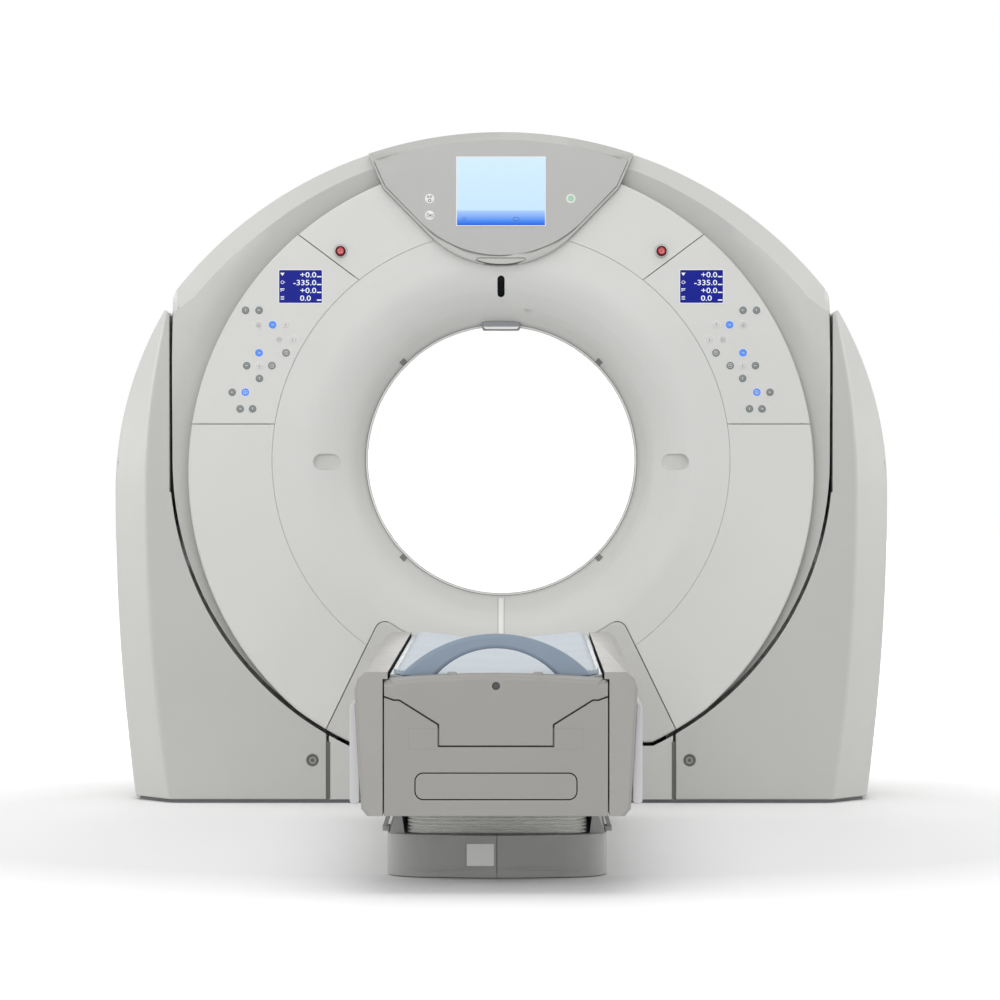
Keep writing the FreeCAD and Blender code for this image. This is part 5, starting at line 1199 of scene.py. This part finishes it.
def gathered_corner(side, hand):
    """Elastic gathering of the sheet at a near corner of the mat."""
    half, y0 = MAT_HIGH.x - 0.005, MAT_LOW.y + 0.001
    along_end, along_side, bend = 0.056, 0.04, 0.6  # bend: share of the length that lies along the end
    ruffles, height = 11, 0.0102
    count, rows = 110, 5
    work = bmesh.new()
    grid = []
    for j in range(rows + 1):
        v = j / rows
        row = []
        for i in range(count + 1):
            u = i / count
            if u < bend:
                x, y, out = half - along_end * (1 - u / bend), y0, Vector((0, -1, 0))
            else:
                x, y, out = half, y0 + along_side * (u - bend) / (1 - bend), Vector((1, 0, 0))
            fade = sin(pi * u) ** 0.5
            turn = u * 2 * pi * ruffles
            wave = sin(turn) * 0.0022 * fade * (0.4 + 0.6 * v)
            z = dish(min(x, half - 0.002)) + 0.0012 + 0.01 * v + 0.0014 * sin(turn + 1.2) * fade * v
            point = Vector((x, y, z)) + out * (wave - 0.001 * v)
            row.append(work.verts.new((side * point.x, point.y, point.z)))
        grid.append(row)
    bridge(work, grid, False)
    ruffle = add_piece("mat_gather_" + hand, work, "mat_fabric", body="table", sharp=80.0)
    thick = ruffle.modifiers.new("thickness", "SOLIDIFY")
    thick.thickness = 0.0007


make_mat()
for side, hand in SIDES:
    gathered_corner(side, hand)


# -------- stage, light, camera
LIGHTS = {  # place, target, size, power
    "top_soft": ((0, -3.0, 4.8), (0, -0.6, 0.6), (5.0, 4.0), 84),
    "front_soft": ((-1.5, -9.0, 3.2), (0, -0.6, 0.9), (5.0, 3.0), 112),
    "low_soft": ((0.6, -9.5, 0.7), (0, -0.6, 0.7), (6.0, 1.0), 42),
    "left_soft": ((-5.0, 0.2, 2.2), (-1.0, 0.0, 1.0), (3.0, 3.0), 100),
    "right_soft": ((5.0, 0.2, 2.2), (1.0, 0.0, 1.0), (3.0, 3.0), 90),
    "back_soft": ((0, 4.0, 1.2), (0, 0.0, 1.0), (2.4, 2.4), 38),
}
WHITE = (1, 1, 1, 1)


def area_light(name, place, target, size, power):
    light = bpy.data.lights.new(name, "AREA")
    assign(light, shape="RECTANGLE", size=size[0], size_y=size[1], energy=power)
    obj = link_object(name, light)
    obj.location = place
    obj.rotation_euler = (Vector(target) - Vector(place)).to_track_quat("-Z", "Y").to_euler()
    obj.visible_camera = False


def make_floor():
    """Pale floor that turns white towards the distance, as the camera sees it."""
    work = bmesh.new()
    bmesh.ops.create_grid(work, x_segments=1, y_segments=1, size=40.0)
    floor = mesh_object("floor", work)
    floor.location = (0, -1.2, -0.0005)
    material, tree, shader = new_material("floor_white")
    distance = add_node(tree, "VectorMath", None, {0: own_place(tree)}, "LENGTH")
    span = {"From Min": 1.6, "From Max": 4.2, "To Min": 0.0, "To Max": 0.75}
    away = add_node(tree, "MapRange", span, {"Value": distance.outputs["Value"]})
    seen = add_node(tree, "LightPath").outputs["Is Camera Ray"]
    lift = add_node(tree, "Math", None, {0: seen, 1: away.outputs["Result"]}, "MULTIPLY")
    values = {"Base Color": (0.86, 0.86, 0.86, 1), "Roughness": 0.6, "Emission Color": WHITE}
    fill_in(tree, shader, values, {"Emission Strength": lift.outputs[0]})
    floor.data.materials.append(material)


def make_world():
    """Soft even light, white to the camera and in reflections."""
    world = bpy.data.worlds.new("studio")
    scene.world = world
    world.use_nodes = True
    tree = world.node_tree
    path = add_node(tree, "LightPath")
    rays = {0: path.outputs["Is Camera Ray"], 1: path.outputs["Is Glossy Ray"]}
    seen = add_node(tree, "Math", None, rays, "MAXIMUM")
    strength = add_node(tree, "MapRange", {"To Min": 0.5, "To Max": 1.0}, {"Value": seen.outputs[0]})
    fill_in(tree, tree.nodes["Background"], {"Color": WHITE}, {"Strength": strength.outputs["Result"]})


def make_camera():
    """Where the photograph was taken from: level with the tunnel, about 14 m in front of it."""
    camera = bpy.data.cameras.new("camera")
    assign(camera, sensor_width=36.0, lens=168.1, clip_end=100.0)
    obj = link_object("camera", camera)
    obj.location = (0.0554, -13.944, 1.022)
    obj.rotation_euler = (radians(90 - 0.614), 0, radians(0.247))
    scene.camera = obj


make_floor()
make_world()
make_camera()
for name, settings in LIGHTS.items():
    area_light(name, *settings)
scene.view_settings.view_transform = "Standard"
